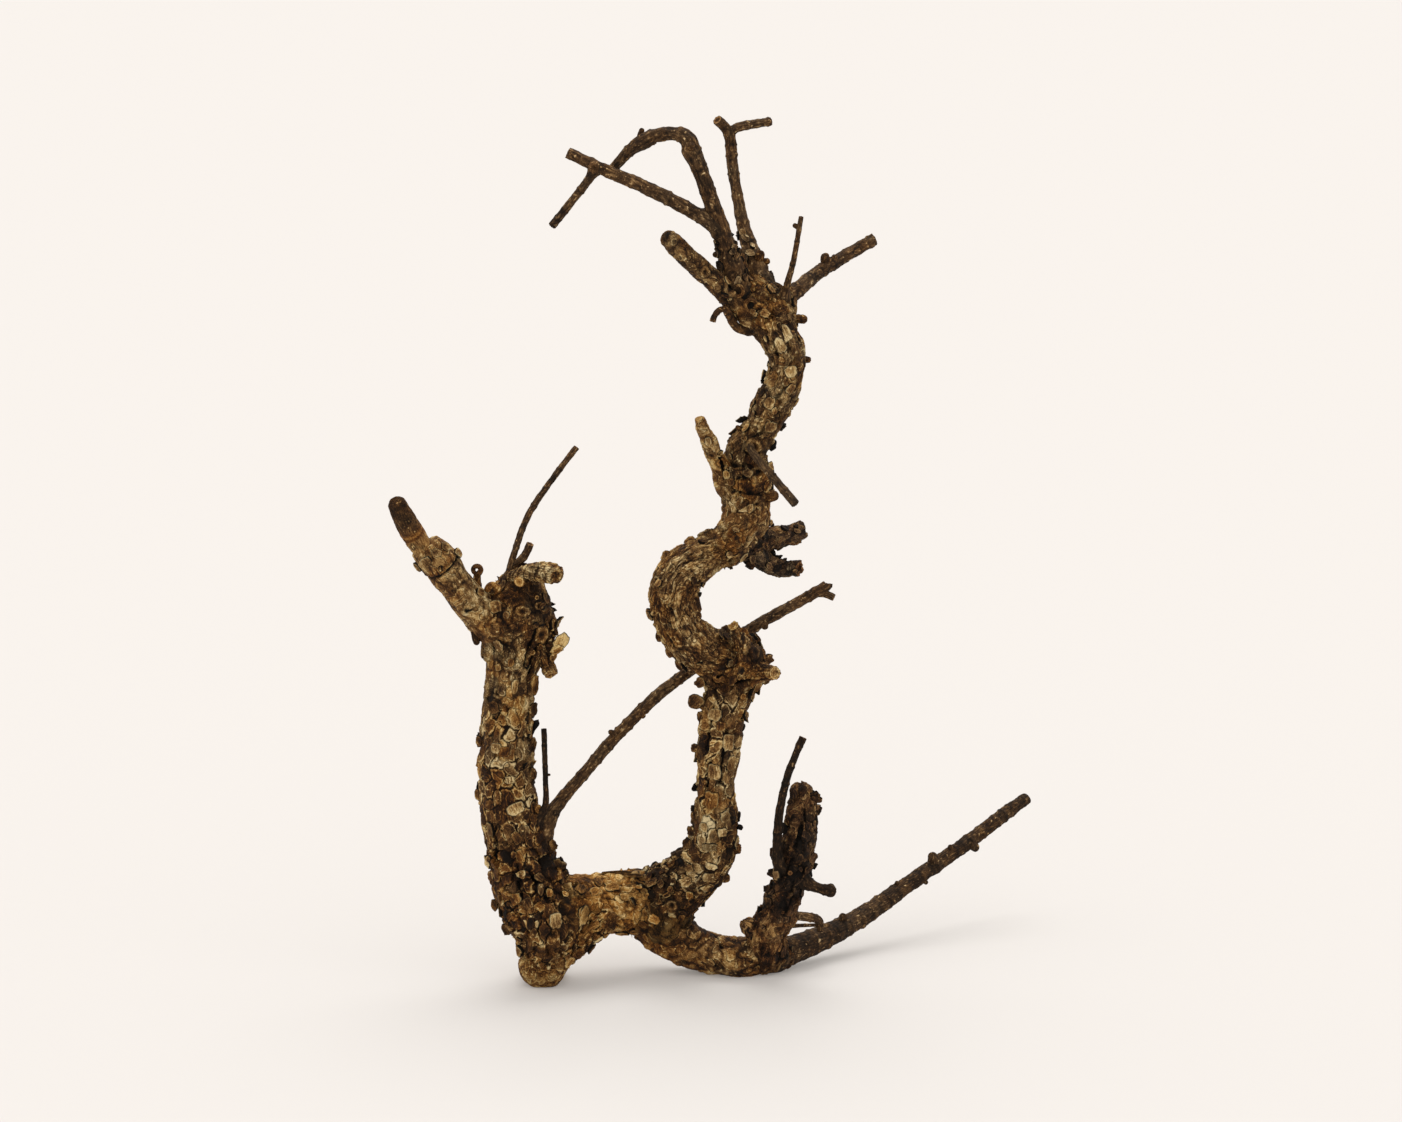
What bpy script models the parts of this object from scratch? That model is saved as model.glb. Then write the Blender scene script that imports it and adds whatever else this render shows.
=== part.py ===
"""A branching piece of driftwood that stands on its own foot and on the belly of a low limb.

A bowed trunk rises on the left. From its base a cross limb runs to the right along the ground,
sends up a taller stem that bends in an S to a crown of twigs, and thins out into a long whip.
The wood is split at its forks, and each branch is a solid of its own.

Axes: +X to the right, +Y to the back, +Z up. The origin is on the ground, at the middle of the
outline as seen from above. Every branch is a list of points (x, y, z, radius) in millimetres,
from its base to its tip.
"""

import bmesh
import bpy
from mathutils import Vector

MM = 0.001

# Driving dimensions, in millimetres
JOINT_GAP = 0.3          # clearance where one branch meets another
FOOT_RADIUS = 8.4        # half thickness of the foot, which lies from front to back
FOOT_FRONT = -54.0       # front end of the foot
FOOT_BACK = -27.0        # back end of the foot
FOOT_HEIGHT = 6.8        # height of the foot's middle line above the ground
FOOT_X = -71.0           # middle of the foot, from left to right
GROUND_SIZE = 400.0      # side of the block that cuts the foot and the low limb flat
RINGS_PER_RADIUS = 1.2   # distance between two rings of a branch, in radii
LONGEST_STEP = 9.0
SHORTEST_STEP = 5.0

# A branch has more sides the thicker it is: (smallest radius, bevel resolution)
SIDES = ((8.0, 5), (4.5, 4), (2.6, 3), (0.0, 2))

BARK = (0.20, 0.13, 0.07)
DARK_BARK = (0.055, 0.036, 0.024)
GOLDEN_WOOD = (0.30, 0.18, 0.075)
TWIG_BARK = (0.13, 0.075, 0.042)
PALE_WOOD = (0.38, 0.28, 0.17)

branches = {}


def clear_scene():
    for thing in list(bpy.data.objects):
        bpy.data.objects.remove(thing)


def new_collection(name):
    group = bpy.data.collections.new(name)
    bpy.context.scene.collection.children.link(group)
    return group


def wood_material(name, colour, roughness):
    material = bpy.data.materials.new(name)
    material.use_nodes = True
    shader = material.node_tree.nodes["Principled BSDF"]
    shader.inputs["Base Color"].default_value = (*colour, 1.0)
    shader.inputs["Roughness"].default_value = roughness
    shader.inputs["Metallic"].default_value = 0.0
    return material


def between(before, start, end, after, share):
    """A point on the smooth curve from start to end, which also heeds the points around them."""
    result = []
    for a, b, c, d in zip(before, start, end, after):
        slope = c - a
        bend = 2 * a - 5 * b + 4 * c - d
        twist = -a + 3 * b - 3 * c + d
        result.append(b + 0.5 * share * (slope + share * (bend + share * twist)))
    return tuple(result)


def smooth_path(points):
    """Points on a smooth curve through the given ones, close together where it is thin."""
    ends = [points[0]] + list(points) + [points[-1]]
    path = [points[0]]
    for index in range(len(points) - 1):
        before, start, end, after = ends[index:index + 4]
        length = (Vector(end[:3]) - Vector(start[:3])).length
        step = RINGS_PER_RADIUS * (start[3] + end[3]) / 2
        step = min(max(step, SHORTEST_STEP), LONGEST_STEP)
        pieces = max(1, round(length / step))
        for piece in range(1, pieces + 1):
            path.append(between(before, start, end, after, piece / pieces))
    return path


def bevel_resolution(points):
    thickest = max(radius for _, _, _, radius in points)
    for smallest_radius, resolution in SIDES:
        if thickest >= smallest_radius:
            return resolution


def tube(name, points, group, swell=0.0):
    """A closed round tube along the points, with its radius swollen by a few tenths."""
    path = smooth_path(points)
    curve = bpy.data.curves.new(name, 'CURVE')
    curve.dimensions = '3D'
    curve.bevel_depth = MM
    curve.bevel_resolution = bevel_resolution(points)
    curve.use_fill_caps = True
    spline = curve.splines.new('POLY')
    spline.points.add(len(path) - 1)
    for point, (x, y, z, radius) in zip(spline.points, path):
        point.co = (x * MM, y * MM, z * MM, 1.0)
        point.radius = max(radius, 0.4) + swell
    drawn = bpy.data.objects.new(name + "_curve", curve)
    group.objects.link(drawn)
    result = mesh_from_curve(name, drawn, group)
    bpy.data.objects.remove(drawn)
    return result


def mesh_from_curve(name, drawn, group):
    view = bpy.context.evaluated_depsgraph_get()
    mesh = bpy.data.meshes.new_from_object(drawn.evaluated_get(view))
    mesh.name = name
    work = bmesh.new()
    work.from_mesh(mesh)
    bmesh.ops.remove_doubles(work, verts=work.verts, dist=0.000001)
    bmesh.ops.recalc_face_normals(work, faces=work.faces)
    work.to_mesh(mesh)
    work.free()
    result = bpy.data.objects.new(name, mesh)
    result.matrix_world = drawn.matrix_world
    group.objects.link(result)
    return result


def hide_cutter(cutter):
    cutter.hide_render = True
    cutter.display_type = 'WIRE'


def boolean(target, tool, operation):
    modifier = target.modifiers.new(operation.lower() + "_" + tool.name, 'BOOLEAN')
    modifier.operation = operation
    modifier.solver = 'EXACT'
    modifier.object = tool


def branch(name, strokes, colour, roughness, parents=(), on_ground=False):
    """One branch: its first stroke with the others joined on, cut clear of its parents."""
    result = tube(name, strokes[0], driftwood)
    for number, stroke in enumerate(strokes[1:], 1):
        lump = tube(f"{name}_join_{number}", stroke, cutters)
        hide_cutter(lump)
        boolean(result, lump, 'UNION')
    for parent in parents:
        for cutter in clearance_of(parent):
            boolean(result, cutter, 'DIFFERENCE')
    if on_ground:
        boolean(result, ground, 'DIFFERENCE')
    result.data.materials.append(wood_material(name + "_bark", colour, roughness))
    branches[name] = {"strokes": strokes, "cutters": []}
    return result


def clearance_of(parent):
    """The parent's strokes, swollen by the gap, made once and shared by its children."""
    record = branches[parent]
    if not record["cutters"]:
        for number, stroke in enumerate(record["strokes"]):
            cutter = tube(f"{parent}_clearance_{number}", stroke, cutters, JOINT_GAP)
            hide_cutter(cutter)
            record["cutters"].append(cutter)
    return record["cutters"]


def make_ground():
    """A block whose top is the ground; it cuts flat what stands on it."""
    bpy.ops.mesh.primitive_cube_add(size=GROUND_SIZE * MM)
    block = bpy.context.object
    block.name = "ground"
    block.location = (0.0, 0.0, -GROUND_SIZE * MM / 2)
    for group in list(block.users_collection):
        group.objects.unlink(block)
    cutters.objects.link(block)
    hide_cutter(block)
    return block


def make_left_trunk():
    """The bowed trunk, its knot at the top with a lump on the right, and its foot."""
    stem = [
        (-71.0, -44, 7, 8.4), (-70.0, -45, 14, 11.6), (-70.0, -45, 23, 14.2),
        (-73.5, -43, 33, 14.2), (-77.0, -42, 43, 13.0), (-80.0, -42, 54, 11.4),
        (-83.5, -42, 72, 10.7), (-84.5, -40, 94, 10.1), (-83.0, -36, 114, 9.1),
        (-82.0, -34, 127, 9.8), (-80.5, -33, 139, 11.4), (-79.0, -33, 147, 11.4),
        (-77.5, -34, 154, 8.0)]
    foot = [
        (FOOT_X, FOOT_FRONT - 3, FOOT_HEIGHT, FOOT_RADIUS - 3),
        (FOOT_X, FOOT_FRONT + 3, FOOT_HEIGHT, FOOT_RADIUS),
        (FOOT_X, FOOT_BACK - 3, FOOT_HEIGHT, FOOT_RADIUS),
        (FOOT_X, FOOT_BACK + 3, FOOT_HEIGHT, FOOT_RADIUS - 3)]
    lump = [(-75, -34, 145, 8.0), (-71, -33, 139, 7.2), (-69.5, -32, 128, 4.6), (-68, -31, 119, 2.4)]
    branch("left_trunk", [stem, foot, lump], BARK, 0.85, on_ground=True)


def make_left_arm():
    """The arm that leans out to the left of the trunk and ends in bare dark wood."""
    arm = [
        (-83.0, -35, 137, 8.7), (-90, -37, 142.5, 8.4), (-97.5, -41, 149.5, 7.5), (-104.5, -45, 159, 7.1),
        (-110.5, -49, 167.5, 6.7), (-115, -52, 174.5, 4.4), (-119.5, -56, 181.5, 3.6),
        (-122.5, -59.5, 189, 2.8)]
    branch("left_arm", [arm], DARK_BARK, 0.8, ["left_trunk"])


def make_left_whip():
    """The wiry shoot above the trunk's knot, with a curled bud low on it."""
    shoot = [
        (-80.5, -34, 152, 1.7), (-82.5, -35, 159, 1.3), (-80.5, -33, 167, 1.2),
        (-75.5, -27, 180, 1.2), (-67.0, -20, 192, 1.1), (-58, -15, 203.5, 1.0)]
    bud = [(-82, -34.5, 162, 1.1), (-76.5, -36, 167, 1.2), (-75, -37, 171, 1.4)]
    branch("left_whip", [shoot, bud], TWIG_BARK, 0.6, ["left_trunk"])


def make_curl_stub():
    """The short banded stub that curls to the right from the top of the trunk."""
    stub = [(-79, -38, 153, 4.6), (-74, -42, 158.5, 4.3), (-69, -46, 161.5, 3.9), (-64, -49.5, 162, 3.2)]
    branch("curl_stub", [stub], PALE_WOOD, 0.8, ["left_trunk"])


def make_cross_limb():
    """The thick golden limb that joins the trunk's base to the stem on the right."""
    limb = [
        (-64, -41, 30, 10.7), (-52, -32, 28.5, 11.0), (-42, -27, 28, 11.8),
        (-33, -25, 26, 11.6), (-26, -25, 21.5, 10.6)]
    branch("cross_limb", [limb], GOLDEN_WOOD, 0.6, ["left_trunk"])


def make_low_limb():
    """The limb that goes on to the right from the cross limb and lies on the ground."""
    limb = [
        (-30, -25, 24, 10.4), (-22, -25, 17.5, 9.8), (-14, -26, 11.5, 9.2),
        (-4, -28, 7.2, 8.6), (7, -29, 6.2, 7.9), (19.5, -24, 6.4, 6.6)]
    branch("low_limb", [limb], BARK, 0.8, ["cross_limb"], on_ground=True)


def make_whip():
    """The long whip that tapers away to the right and to the back."""
    whip = [
        (15, -26, 6.4, 6.2), (21, -23, 6.9, 5.9), (35, -10, 8.5, 4.7), (53, 7, 13, 3.8), (73, 25, 22, 3.2),
        (98, 46, 34, 2.9), (114, 58, 43, 2.75), (123, 65, 47.5, 2.4)]
    branch("whip", [whip], TWIG_BARK, 0.6, ["low_limb"])


def make_centre_stem():
    """The stem that rises from a thick collar at the fork to a large knot with two cut pegs."""
    stem = [
        (-24, -26, 25, 8.6), (-16, -30.5, 36, 9.6), (-9.5, -34, 47, 10.4), (-6, -38, 60, 8.8),
        (-4, -40, 76, 7.5), (-3, -40, 90, 8.0), (-1.5, -39, 104, 8.6), (0.5, -37, 116, 10.4),
        (2.5, -36, 124, 13.0), (2, -36, 131, 12.2), (1.5, -36, 137, 7.6)]
    front_peg = [(5, -42, 132, 3.2), (4, -48, 138.5, 2.4), (3, -51, 142, 1.9)]
    right_peg = [(9, -36, 122.5, 4.6), (14, -34, 122, 3.0), (18.5, -33, 121.5, 2.1)]
    collar = [(-34, -26, 31, 8.2), (-26, -28, 37, 8.0), (-17, -32, 45, 8.0)]
    branch("centre_stem", [stem, front_peg, right_peg, collar], BARK, 0.85, ["cross_limb", "low_limb"])


def make_dark_stub():
    """The blackened stub that stands up beside the stem, rounded off at its top."""
    stub = [
        (14.5, -28.5, 7, 5.6), (16.5, -31, 18, 8.1), (20, -34, 28, 7.7), (22.5, -37, 37, 7.0),
        (24.5, -39, 47.5, 7.6), (27, -39, 58, 7.1), (28, -37, 70, 5.9), (28.5, -36, 75.5, 3.8)]
    branch("dark_stub", [stub], DARK_BARK, 0.9, ["low_limb", "whip"])


def make_s_limb():
    """The lower half of the S, which swings out to the left above the knot and back again."""
    limb = [
        (-2, -37, 126, 9.8), (-11, -43, 131, 9.4), (-18.5, -50, 140, 9.2), (-21.5, -54, 150.5, 9.2),
        (-20, -55, 158, 9.0), (-16.5, -53, 164, 9.0), (-9, -48, 168.5, 8.7), (-1, -43, 171.5, 8.6)]
    branch("s_limb", [limb], BARK, 0.8, ["centre_stem"])


def make_neck():
    """The upper half of the S, which leans to the right and swells into the crown."""
    limb = [
        (-5, -45.5, 170, 8.4), (1.5, -41, 173.5, 8.7), (5.5, -38, 180, 8.8), (6.5, -36, 188, 8.7),
        (7, -37, 198, 8.6), (9, -39, 208, 8.1), (14.5, -42, 220, 7.2), (19.5, -46, 232, 6.9),
        (22, -48, 242.5, 6.9), (19.5, -46.5, 251, 7.8), (15, -43, 259, 9.2), (11.5, -42, 265, 8.6),
        (10, -42, 270, 6.6)]
    lobe = [(4.5, -44, 261, 6.4), (13.5, -42, 265, 8.0), (21.0, -41, 266, 5.4)]
    branch("neck", [limb, lobe], BARK, 0.8, ["s_limb"])


def make_upper_fork():
    """The upper of the two dark stubs that fork out to the right from the S."""
    stub = [(3.5, -40, 171, 5.6), (12, -33, 171, 4.5), (20, -28, 171.5, 3.8), (28.5, -22, 173, 3.2)]
    branch("upper_fork", [stub], DARK_BARK, 0.8, ["s_limb", "neck"])


def make_lower_fork():
    """The lower of the two stubs, with a pale cut end."""
    stub = [(8, -37, 168.5, 4.2), (14.5, -32, 162, 3.6), (20, -28, 159.5, 3.0), (27.5, -24, 160, 2.5)]
    branch("lower_fork", [stub], DARK_BARK, 0.8, ["s_limb", "neck", "upper_fork"])


def make_mid_stub():
    """The tapering pale stub on the left of the neck."""
    stub = [(1.5, -38, 193, 4.2), (-4.5, -43, 201, 3.3), (-9, -50, 211, 2.7), (-10, -54, 220, 2.2)]
    branch("mid_stub", [stub], PALE_WOOD, 0.75, ["neck"])


def make_split_spike():
    """The flat-ended spike that hangs forward to the right of the neck."""
    spike = [(7.5, -42, 211, 1.5), (12, -54, 205, 1.2), (24, -65, 189.5, 1.2)]
    branch("split_spike", [spike], BARK, 0.8, ["neck"])


def make_crown_stub():
    """The blunt stub that points up to the left from the crown."""
    stub = [
        (10, -44.5, 254, 4.6), (3.5, -46.5, 261, 5.4), (-2, -49.5, 266.5, 4.5), (-11, -56, 275.5, 3.8),
        (-20.5, -63.5, 286, 3.4), (-22.5, -65, 288.5, 2.3)]
    branch("crown_stub", [stub], BARK, 0.8, ["neck"])


def make_arch_twig():
    """The twig that climbs from the crown and arches over to the left."""
    twig = [
        (5, -43.5, 264, 5.4), (1.5, -46, 273, 4.4), (-2, -52, 286.5, 3.5), (-7.5, -57, 304.5, 3.2),
        (-10.5, -59, 311.5, 3.0), (-14.5, -61, 318.5, 3.3), (-16.5, -61, 323.5, 2.9), (-20.5, -60, 326, 2.5),
        (-27, -57, 325.5, 2.5), (-32.5, -55, 323.5, 2.8), (-38, -51.5, 319.5, 2.0), (-43.5, -47, 313, 1.7)]
    branch("arch_twig", [twig], TWIG_BARK, 0.65, ["neck", "crown_stub"])


def make_cross_twig():
    """The twig that leaves the arching one and crosses in front of its end."""
    twig = [
        (-4, -53.5, 291, 2.6), (-11, -56, 296.5, 2.4), (-28, -57, 305, 2.4), (-45.5, -56, 312, 2.2),
        (-52, -55, 315, 2.0), (-57.5, -54, 318, 1.8)]
    branch("cross_twig", [twig], TWIG_BARK, 0.65, ["arch_twig"])


def make_hanging_shoot():
    """The thin shoot that hangs down from the crossing twig."""
    shoot = [(-49.5, -56, 313.5, 1.6), (-52.5, -55, 308.5, 1.4), (-64.5, -49, 292.5, 1.4)]
    branch("hanging_shoot", [shoot], TWIG_BARK, 0.65, ["cross_twig"])


def make_forked_twig():
    """The upright twig of the crown, which forks near its tip."""
    twig = [
        (13, -40.5, 266.5, 5.2), (11, -37, 275.5, 4.2), (7.5, -33, 284, 3.0), (5, -30, 293, 2.3),
        (2, -25, 309.5, 2.0), (0.5, -24, 324, 1.9), (-4, -28, 329, 1.6)]
    arm = [(0.5, -24, 325, 1.7), (3.5, -23, 326.8, 1.6), (15.5, -18, 328.5, 1.5)]
    branch("forked_twig", [twig, arm], TWIG_BARK, 0.65, ["neck"])


def make_fine_twig():
    """The finest twig of the crown, which stands up from its right side."""
    twig = [(20, -44, 263, 1.8), (21.5, -50, 270.5, 1.1), (23.5, -55, 279.5, 0.85), (26, -59, 295.5, 0.75)]
    branch("fine_twig", [twig], TWIG_BARK, 0.65, ["neck"])


def make_right_twig():
    """The twig that leans out to the right from the crown."""
    twig = [(17.5, -42, 262.5, 3.6), (25.5, -37, 267, 2.8), (38, -28, 275.5, 2.45), (53.5, -19, 283.5, 2.1)]
    branch("right_twig", [twig], TWIG_BARK, 0.65, ["neck", "fine_twig"])


def make_curled_twig():
    """The small tendril that curls in front of the crown."""
    tendril = [
        (12, -44, 254.5, 1.2), (3, -51, 255.5, 1.1), (-1, -58, 260.5, 1.1), (-4, -61, 261.8, 1.0),
        (-6, -62, 260, 1.1), (-6.5, -62, 257.5, 1.1)]
    branch("curled_twig", [tendril], TWIG_BARK, 0.65, ["neck", "crown_stub"])


def make_long_twig():
    """The long straight twig from the trunk, which passes behind the stem's knot."""
    twig = [
        (-77, -41.5, 54, 2.8), (-69, -38, 67, 2.3), (-54, -31, 82, 2.1), (-42, -24, 94.5, 2.1),
        (-20, -18, 112.5, 2.0), (8.5, -15, 133, 2.1), (25, -11, 142.5, 2.1), (37.5, -9, 150, 2.0)]
    prong = [(33.5, -9.5, 147.8, 1.4), (37, -10, 147.2, 1.4), (40.5, -11, 145.5, 1.2)]
    branch("long_twig", [twig, prong], TWIG_BARK, 0.65, ["left_trunk"])


def make_needle_twig():
    """The needle that stands up in front of the trunk."""
    twig = [(-76.5, -44, 60, 2.0), (-71.5, -45.5, 68, 1.7), (-69.5, -46, 72, 1.0), (-69.5, -47, 82, 0.85),
            (-70, -46, 100.5, 0.8)]
    branch("needle_twig", [twig], TWIG_BARK, 0.65, ["left_trunk", "long_twig"])


def make_dark_twig():
    """The thin dark shoot that stands in front of the blackened stub."""
    twig = [(23.5, -40, 43, 1.5), (19, -48.5, 55.5, 1.2), (18.5, -49, 70, 1.2), (21.5, -48, 82, 1.1),
            (27.5, -45, 97, 1.1)]
    branch("dark_twig", [twig], DARK_BARK, 0.7, ["dark_stub"])


def make_knob_twig():
    """The short twig with a flared cap, on the right of the blackened stub."""
    twig = [(26, -39, 45, 2.8), (32, -42, 40.5, 1.7), (36, -44.5, 38.5, 1.5), (38.5, -45.5, 38, 2.1)]
    branch("knob_twig", [twig], TWIG_BARK, 0.7, ["dark_stub"])


def make_tucked_twig():
    """The short hooked twig low on the right of the blackened stub."""
    twig = [(18, -33, 25, 1.7), (29.5, -24, 22.5, 1.6), (35, -18.5, 20, 1.5), (34.8, -17, 15.5, 1.2)]
    branch("tucked_twig", [twig], BARK, 0.7, ["dark_stub", "low_limb"])


def shade_round(part):
    part.data.shade_smooth()
    part.data.set_sharp_from_angle(angle=0.9)


clear_scene()
driftwood = new_collection("driftwood")
cutters = new_collection("cutters")
ground = make_ground()

make_left_trunk()
make_left_arm()
make_left_whip()
make_curl_stub()
make_cross_limb()
make_low_limb()
make_whip()
make_centre_stem()
make_dark_stub()
make_s_limb()
make_neck()
make_upper_fork()
make_lower_fork()
make_mid_stub()
make_split_spike()
make_crown_stub()
make_arch_twig()
make_cross_twig()
make_hanging_shoot()
make_forked_twig()
make_fine_twig()
make_right_twig()
make_curled_twig()
make_long_twig()
make_needle_twig()
make_dark_twig()
make_knob_twig()
make_tucked_twig()

for part in driftwood.objects:
    shade_round(part)
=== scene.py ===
import math

import bpy
import numpy as np
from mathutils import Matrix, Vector
from mathutils.bvhtree import BVHTree


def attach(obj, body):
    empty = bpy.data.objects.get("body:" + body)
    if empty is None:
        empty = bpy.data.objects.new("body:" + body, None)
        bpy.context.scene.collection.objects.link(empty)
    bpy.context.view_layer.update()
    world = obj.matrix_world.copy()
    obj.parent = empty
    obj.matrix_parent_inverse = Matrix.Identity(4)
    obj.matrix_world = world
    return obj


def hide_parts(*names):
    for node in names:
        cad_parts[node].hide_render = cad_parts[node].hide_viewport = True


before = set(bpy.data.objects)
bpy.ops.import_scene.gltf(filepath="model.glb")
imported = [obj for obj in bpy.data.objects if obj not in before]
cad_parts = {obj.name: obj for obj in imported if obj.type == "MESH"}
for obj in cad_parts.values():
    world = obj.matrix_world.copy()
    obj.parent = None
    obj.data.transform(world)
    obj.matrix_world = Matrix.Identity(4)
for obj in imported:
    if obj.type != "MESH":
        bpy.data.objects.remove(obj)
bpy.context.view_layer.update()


# THE LEFT TRUNK
# The thick bowed stem on the left. Its bark has broken into small square plates with dark cracks
# between them. It stands on a smooth worn foot and ends in a knot with cut twigs and loose bark.

MM = 0.001
GRAIN = 0.55
FRONT = np.array((0.0, -1.0, 0.0))
UP = np.array((0.0, 0.0, 1.0))
CORNERS = np.array([(x, y, 0) for x in (-1, 1) for y in (-1, 1)]
                   + [(x, 0, z) for x in (-1, 1) for z in (-1, 1)]
                   + [(0, y, z) for y in (-1, 1) for z in (-1, 1)], float)


def smooth(share):
    """Rises gently from 0 to 1."""
    share = np.clip(share, 0.0, 1.0)
    return share * share * (3.0 - 2.0 * share)


def level(value, along):
    """A value that is the same all along a branch, or given as (distance along, value) pairs."""
    if np.isscalar(value):
        return np.full(np.shape(along), float(value))
    return np.interp(along, [a for a, _ in value], [v for _, v in value])


def lattice(cell, seed):
    """A steady random whole number for each corner of a lattice."""
    mixed = cell[..., 0] * 73856093 ^ cell[..., 1] * 19349663 ^ cell[..., 2] * 83492791
    mixed = (mixed ^ (seed * 374761393)) & 0xFFFFFFFF
    mixed = ((mixed ^ (mixed >> 15)) * 2246822519) & 0xFFFFFFFF
    mixed = ((mixed ^ (mixed >> 13)) * 3266489917) & 0xFFFFFFFF
    return mixed ^ (mixed >> 16)


def ripple(places, size, seed):
    """Smooth noise from about -1 to 1, with bumps of that size in mm."""
    places = places / size
    cell = np.floor(places).astype(np.int64)
    inside = places - cell
    fade = inside ** 3 * (inside * (inside * 6 - 15) + 10)
    total = 0.0
    for corner in np.ndindex(2, 2, 2):
        corner = np.array(corner)
        slope = CORNERS[lattice(cell + corner, seed) % 12]
        share = np.prod(np.where(corner, fade, 1 - fade), axis=-1)
        total = total + share * np.sum(slope * (inside - corner), axis=-1)
    return total * 1.4


def rough(places, size, seed, layers=3):
    """Ripples with ever finer ones on top."""
    return sum(ripple(places, size / 2 ** n, seed + n) / 2 ** n for n in range(layers))


def smooth_line(points):
    """A dense smooth curve of x, y, z and radius through the given points."""
    points = np.array(points, float)
    ends = np.vstack((points[:1], points, points[-1:]))
    line = [points[:1]]
    for before, start, end, after in zip(ends, ends[1:], ends[2:], ends[3:]):
        share = np.linspace(0, 1, 17)[1:, None]
        bend = 2 * before - 5 * start + 4 * end - after
        twist = -before + 3 * start - 3 * end + after
        line.append(start + 0.5 * share * (end - before + share * (bend + share * twist)))
    return np.vstack(line)


# The crack channel darkens bark towards the crevice colour: real cracks and grooves, and also painted
# shade in creases, hollows, fold valleys and under flakes.
CHANNELS = ("tone", "warm", "crack", "flow", "edge", "layer")


class Skin:
    """A grid of points round a branch. Rows go along it and columns round it, from its back.

    start and end are "round" for a rounded end, "cut" for a flat one, or a number that squashes
    a rounded end to that share of its radius.
    """

    def __init__(self, route, step=GRAIN, start="round", end="round", girth=None):
        line = smooth_line(route)
        lengths = np.linalg.norm(np.diff(line[:, :3], axis=0), axis=1)
        reached = np.concatenate(([0.0], np.cumsum(lengths)))
        count = max(4, round(reached[-1] / step))
        self.length = reached[-1]
        self.along = np.linspace(0, self.length, count + 1)
        even = np.stack([np.interp(self.along, reached, line[:, n]) for n in range(4)], axis=1)
        self.centre, self.radius = even[:, :3], np.maximum(even[:, 3], 0.3)
        self.thickness = float(np.mean(self.radius)) if girth is None else girth
        ahead = np.gradient(self.centre, axis=0)
        self.ahead = ahead / np.linalg.norm(ahead, axis=1)[:, None]
        self.add_end(start, step, -1)
        self.add_end(end, step, 1)
        self.closing = end
        columns = max(10, round(2 * math.pi * self.radius.max() / step))
        self.turn = np.arange(columns) * 2 * math.pi / columns - math.pi
        facing = FRONT if np.abs(self.ahead @ FRONT).max() < 0.97 else UP
        forward = facing - self.ahead * (self.ahead @ facing)[:, None]
        forward /= np.linalg.norm(forward, axis=1)[:, None]
        side = np.cross(self.ahead, forward)
        self.out = (forward[:, None] * np.cos(self.turn)[None, :, None]
                    + side[:, None] * np.sin(self.turn)[None, :, None])
        self.places = self.centre[:, None] + self.out * self.radius[:, None, None]
        shape = self.places.shape[:2]
        self.paint = {name: np.zeros(shape) for name in CHANNELS}
        self.paint["edge"] += 3.0
        self.x = np.broadcast_to(self.along[:, None], shape)
        self.y = np.broadcast_to(self.turn[None, :] * self.thickness, shape)
        self.fibre = np.stack((self.x * 0.22, np.cos(self.turn)[None] * self.radius[:, None],
                               np.sin(self.turn)[None] * self.radius[:, None]), axis=-1)

    def add_end(self, kind, step, way):
        """Rings that close the branch at one end."""
        last = -1 if way > 0 else 0
        radius, ahead = self.radius[last], self.ahead[last] * way
        bulge = {"round": 1.0, "cut": 0.0}.get(kind, kind)
        rings = max(3, round(radius * 1.3 / step))
        angle = np.linspace(0, math.pi / 2, rings + 1)[1:]
        out = np.sin(angle) * bulge
        shrunk = np.cos(angle) if bulge else 1 - np.linspace(0, 1, rings + 1)[1:]
        centre = self.centre[last] + ahead * (out * radius)[:, None]
        radius_here = np.maximum(radius * shrunk, 0.02)
        along = self.along[last] + way * radius * angle
        heading = np.repeat(self.ahead[last][None], rings, axis=0)
        parts = [(self.along, along), (self.radius, radius_here), (self.centre, centre),
                 (self.ahead, heading)]
        joined = [np.concatenate((old, new) if way > 0 else (new[::-1], old)) for old, new in parts]
        self.along, self.radius, self.centre, self.ahead = joined

    def normals(self):
        """Unit normals of the grid as it is now."""
        down = np.gradient(self.places, axis=0)
        around = np.roll(self.places, -1, axis=1) - np.roll(self.places, 1, axis=1)
        facing = np.cross(around, down)
        size = np.linalg.norm(facing, axis=2, keepdims=True)
        facing = np.where(size > 1e-9, facing / np.maximum(size, 1e-9), self.out)
        facing *= np.sign(np.median(np.sum(facing * self.out, axis=2)))
        for row, way in ((0, -1), (-1, 1)):
            facing[row] = self.ahead[row] * way
        return facing

    def gap(self, places, reach):
        """How far each place is outside this branch, in mm, or reach where it is further."""
        flat = places.reshape(-1, 3)
        gaps = np.full(len(flat), float(reach))
        for centre, radius in zip(self.centre[::4], self.radius[::4]):
            gaps = np.minimum(gaps, np.linalg.norm(flat - centre, axis=1) - radius)
        return gaps.reshape(places.shape[:2])

    def spot(self, along, turn, spin=0.0):
        """Place, outward way, way along turned by spin, and how fast the skin curves away."""
        row = int(np.argmin(np.abs(self.along - along)))
        angle = math.radians(turn)
        column = int(np.argmin(np.abs((self.turn - angle + math.pi) % (2 * math.pi) - math.pi)))
        rows, columns = self.places.shape[:2]
        around = self.places[row, (column + 2) % columns] - self.places[row, column - 2]
        ahead = self.places[min(row + 2, rows - 1), column] - self.places[max(row - 2, 0), column]
        normal = np.cross(around, ahead)
        normal = normal * np.sign(normal @ self.out[row, column])
        normal = normal / max(np.linalg.norm(normal), 1e-9) + 1.2 * self.out[row, column]
        normal /= np.linalg.norm(normal)
        forward = self.ahead[row] - normal * (self.ahead[row] @ normal)
        forward /= max(np.linalg.norm(forward), 1e-9)
        sideways = np.cross(normal, forward)
        spin = math.radians(spin)
        long_way = forward * math.cos(spin) + sideways * math.sin(spin)
        return self.places[row, column], normal, long_way, 0.35 / max(self.radius[row], 1.0)

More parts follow.
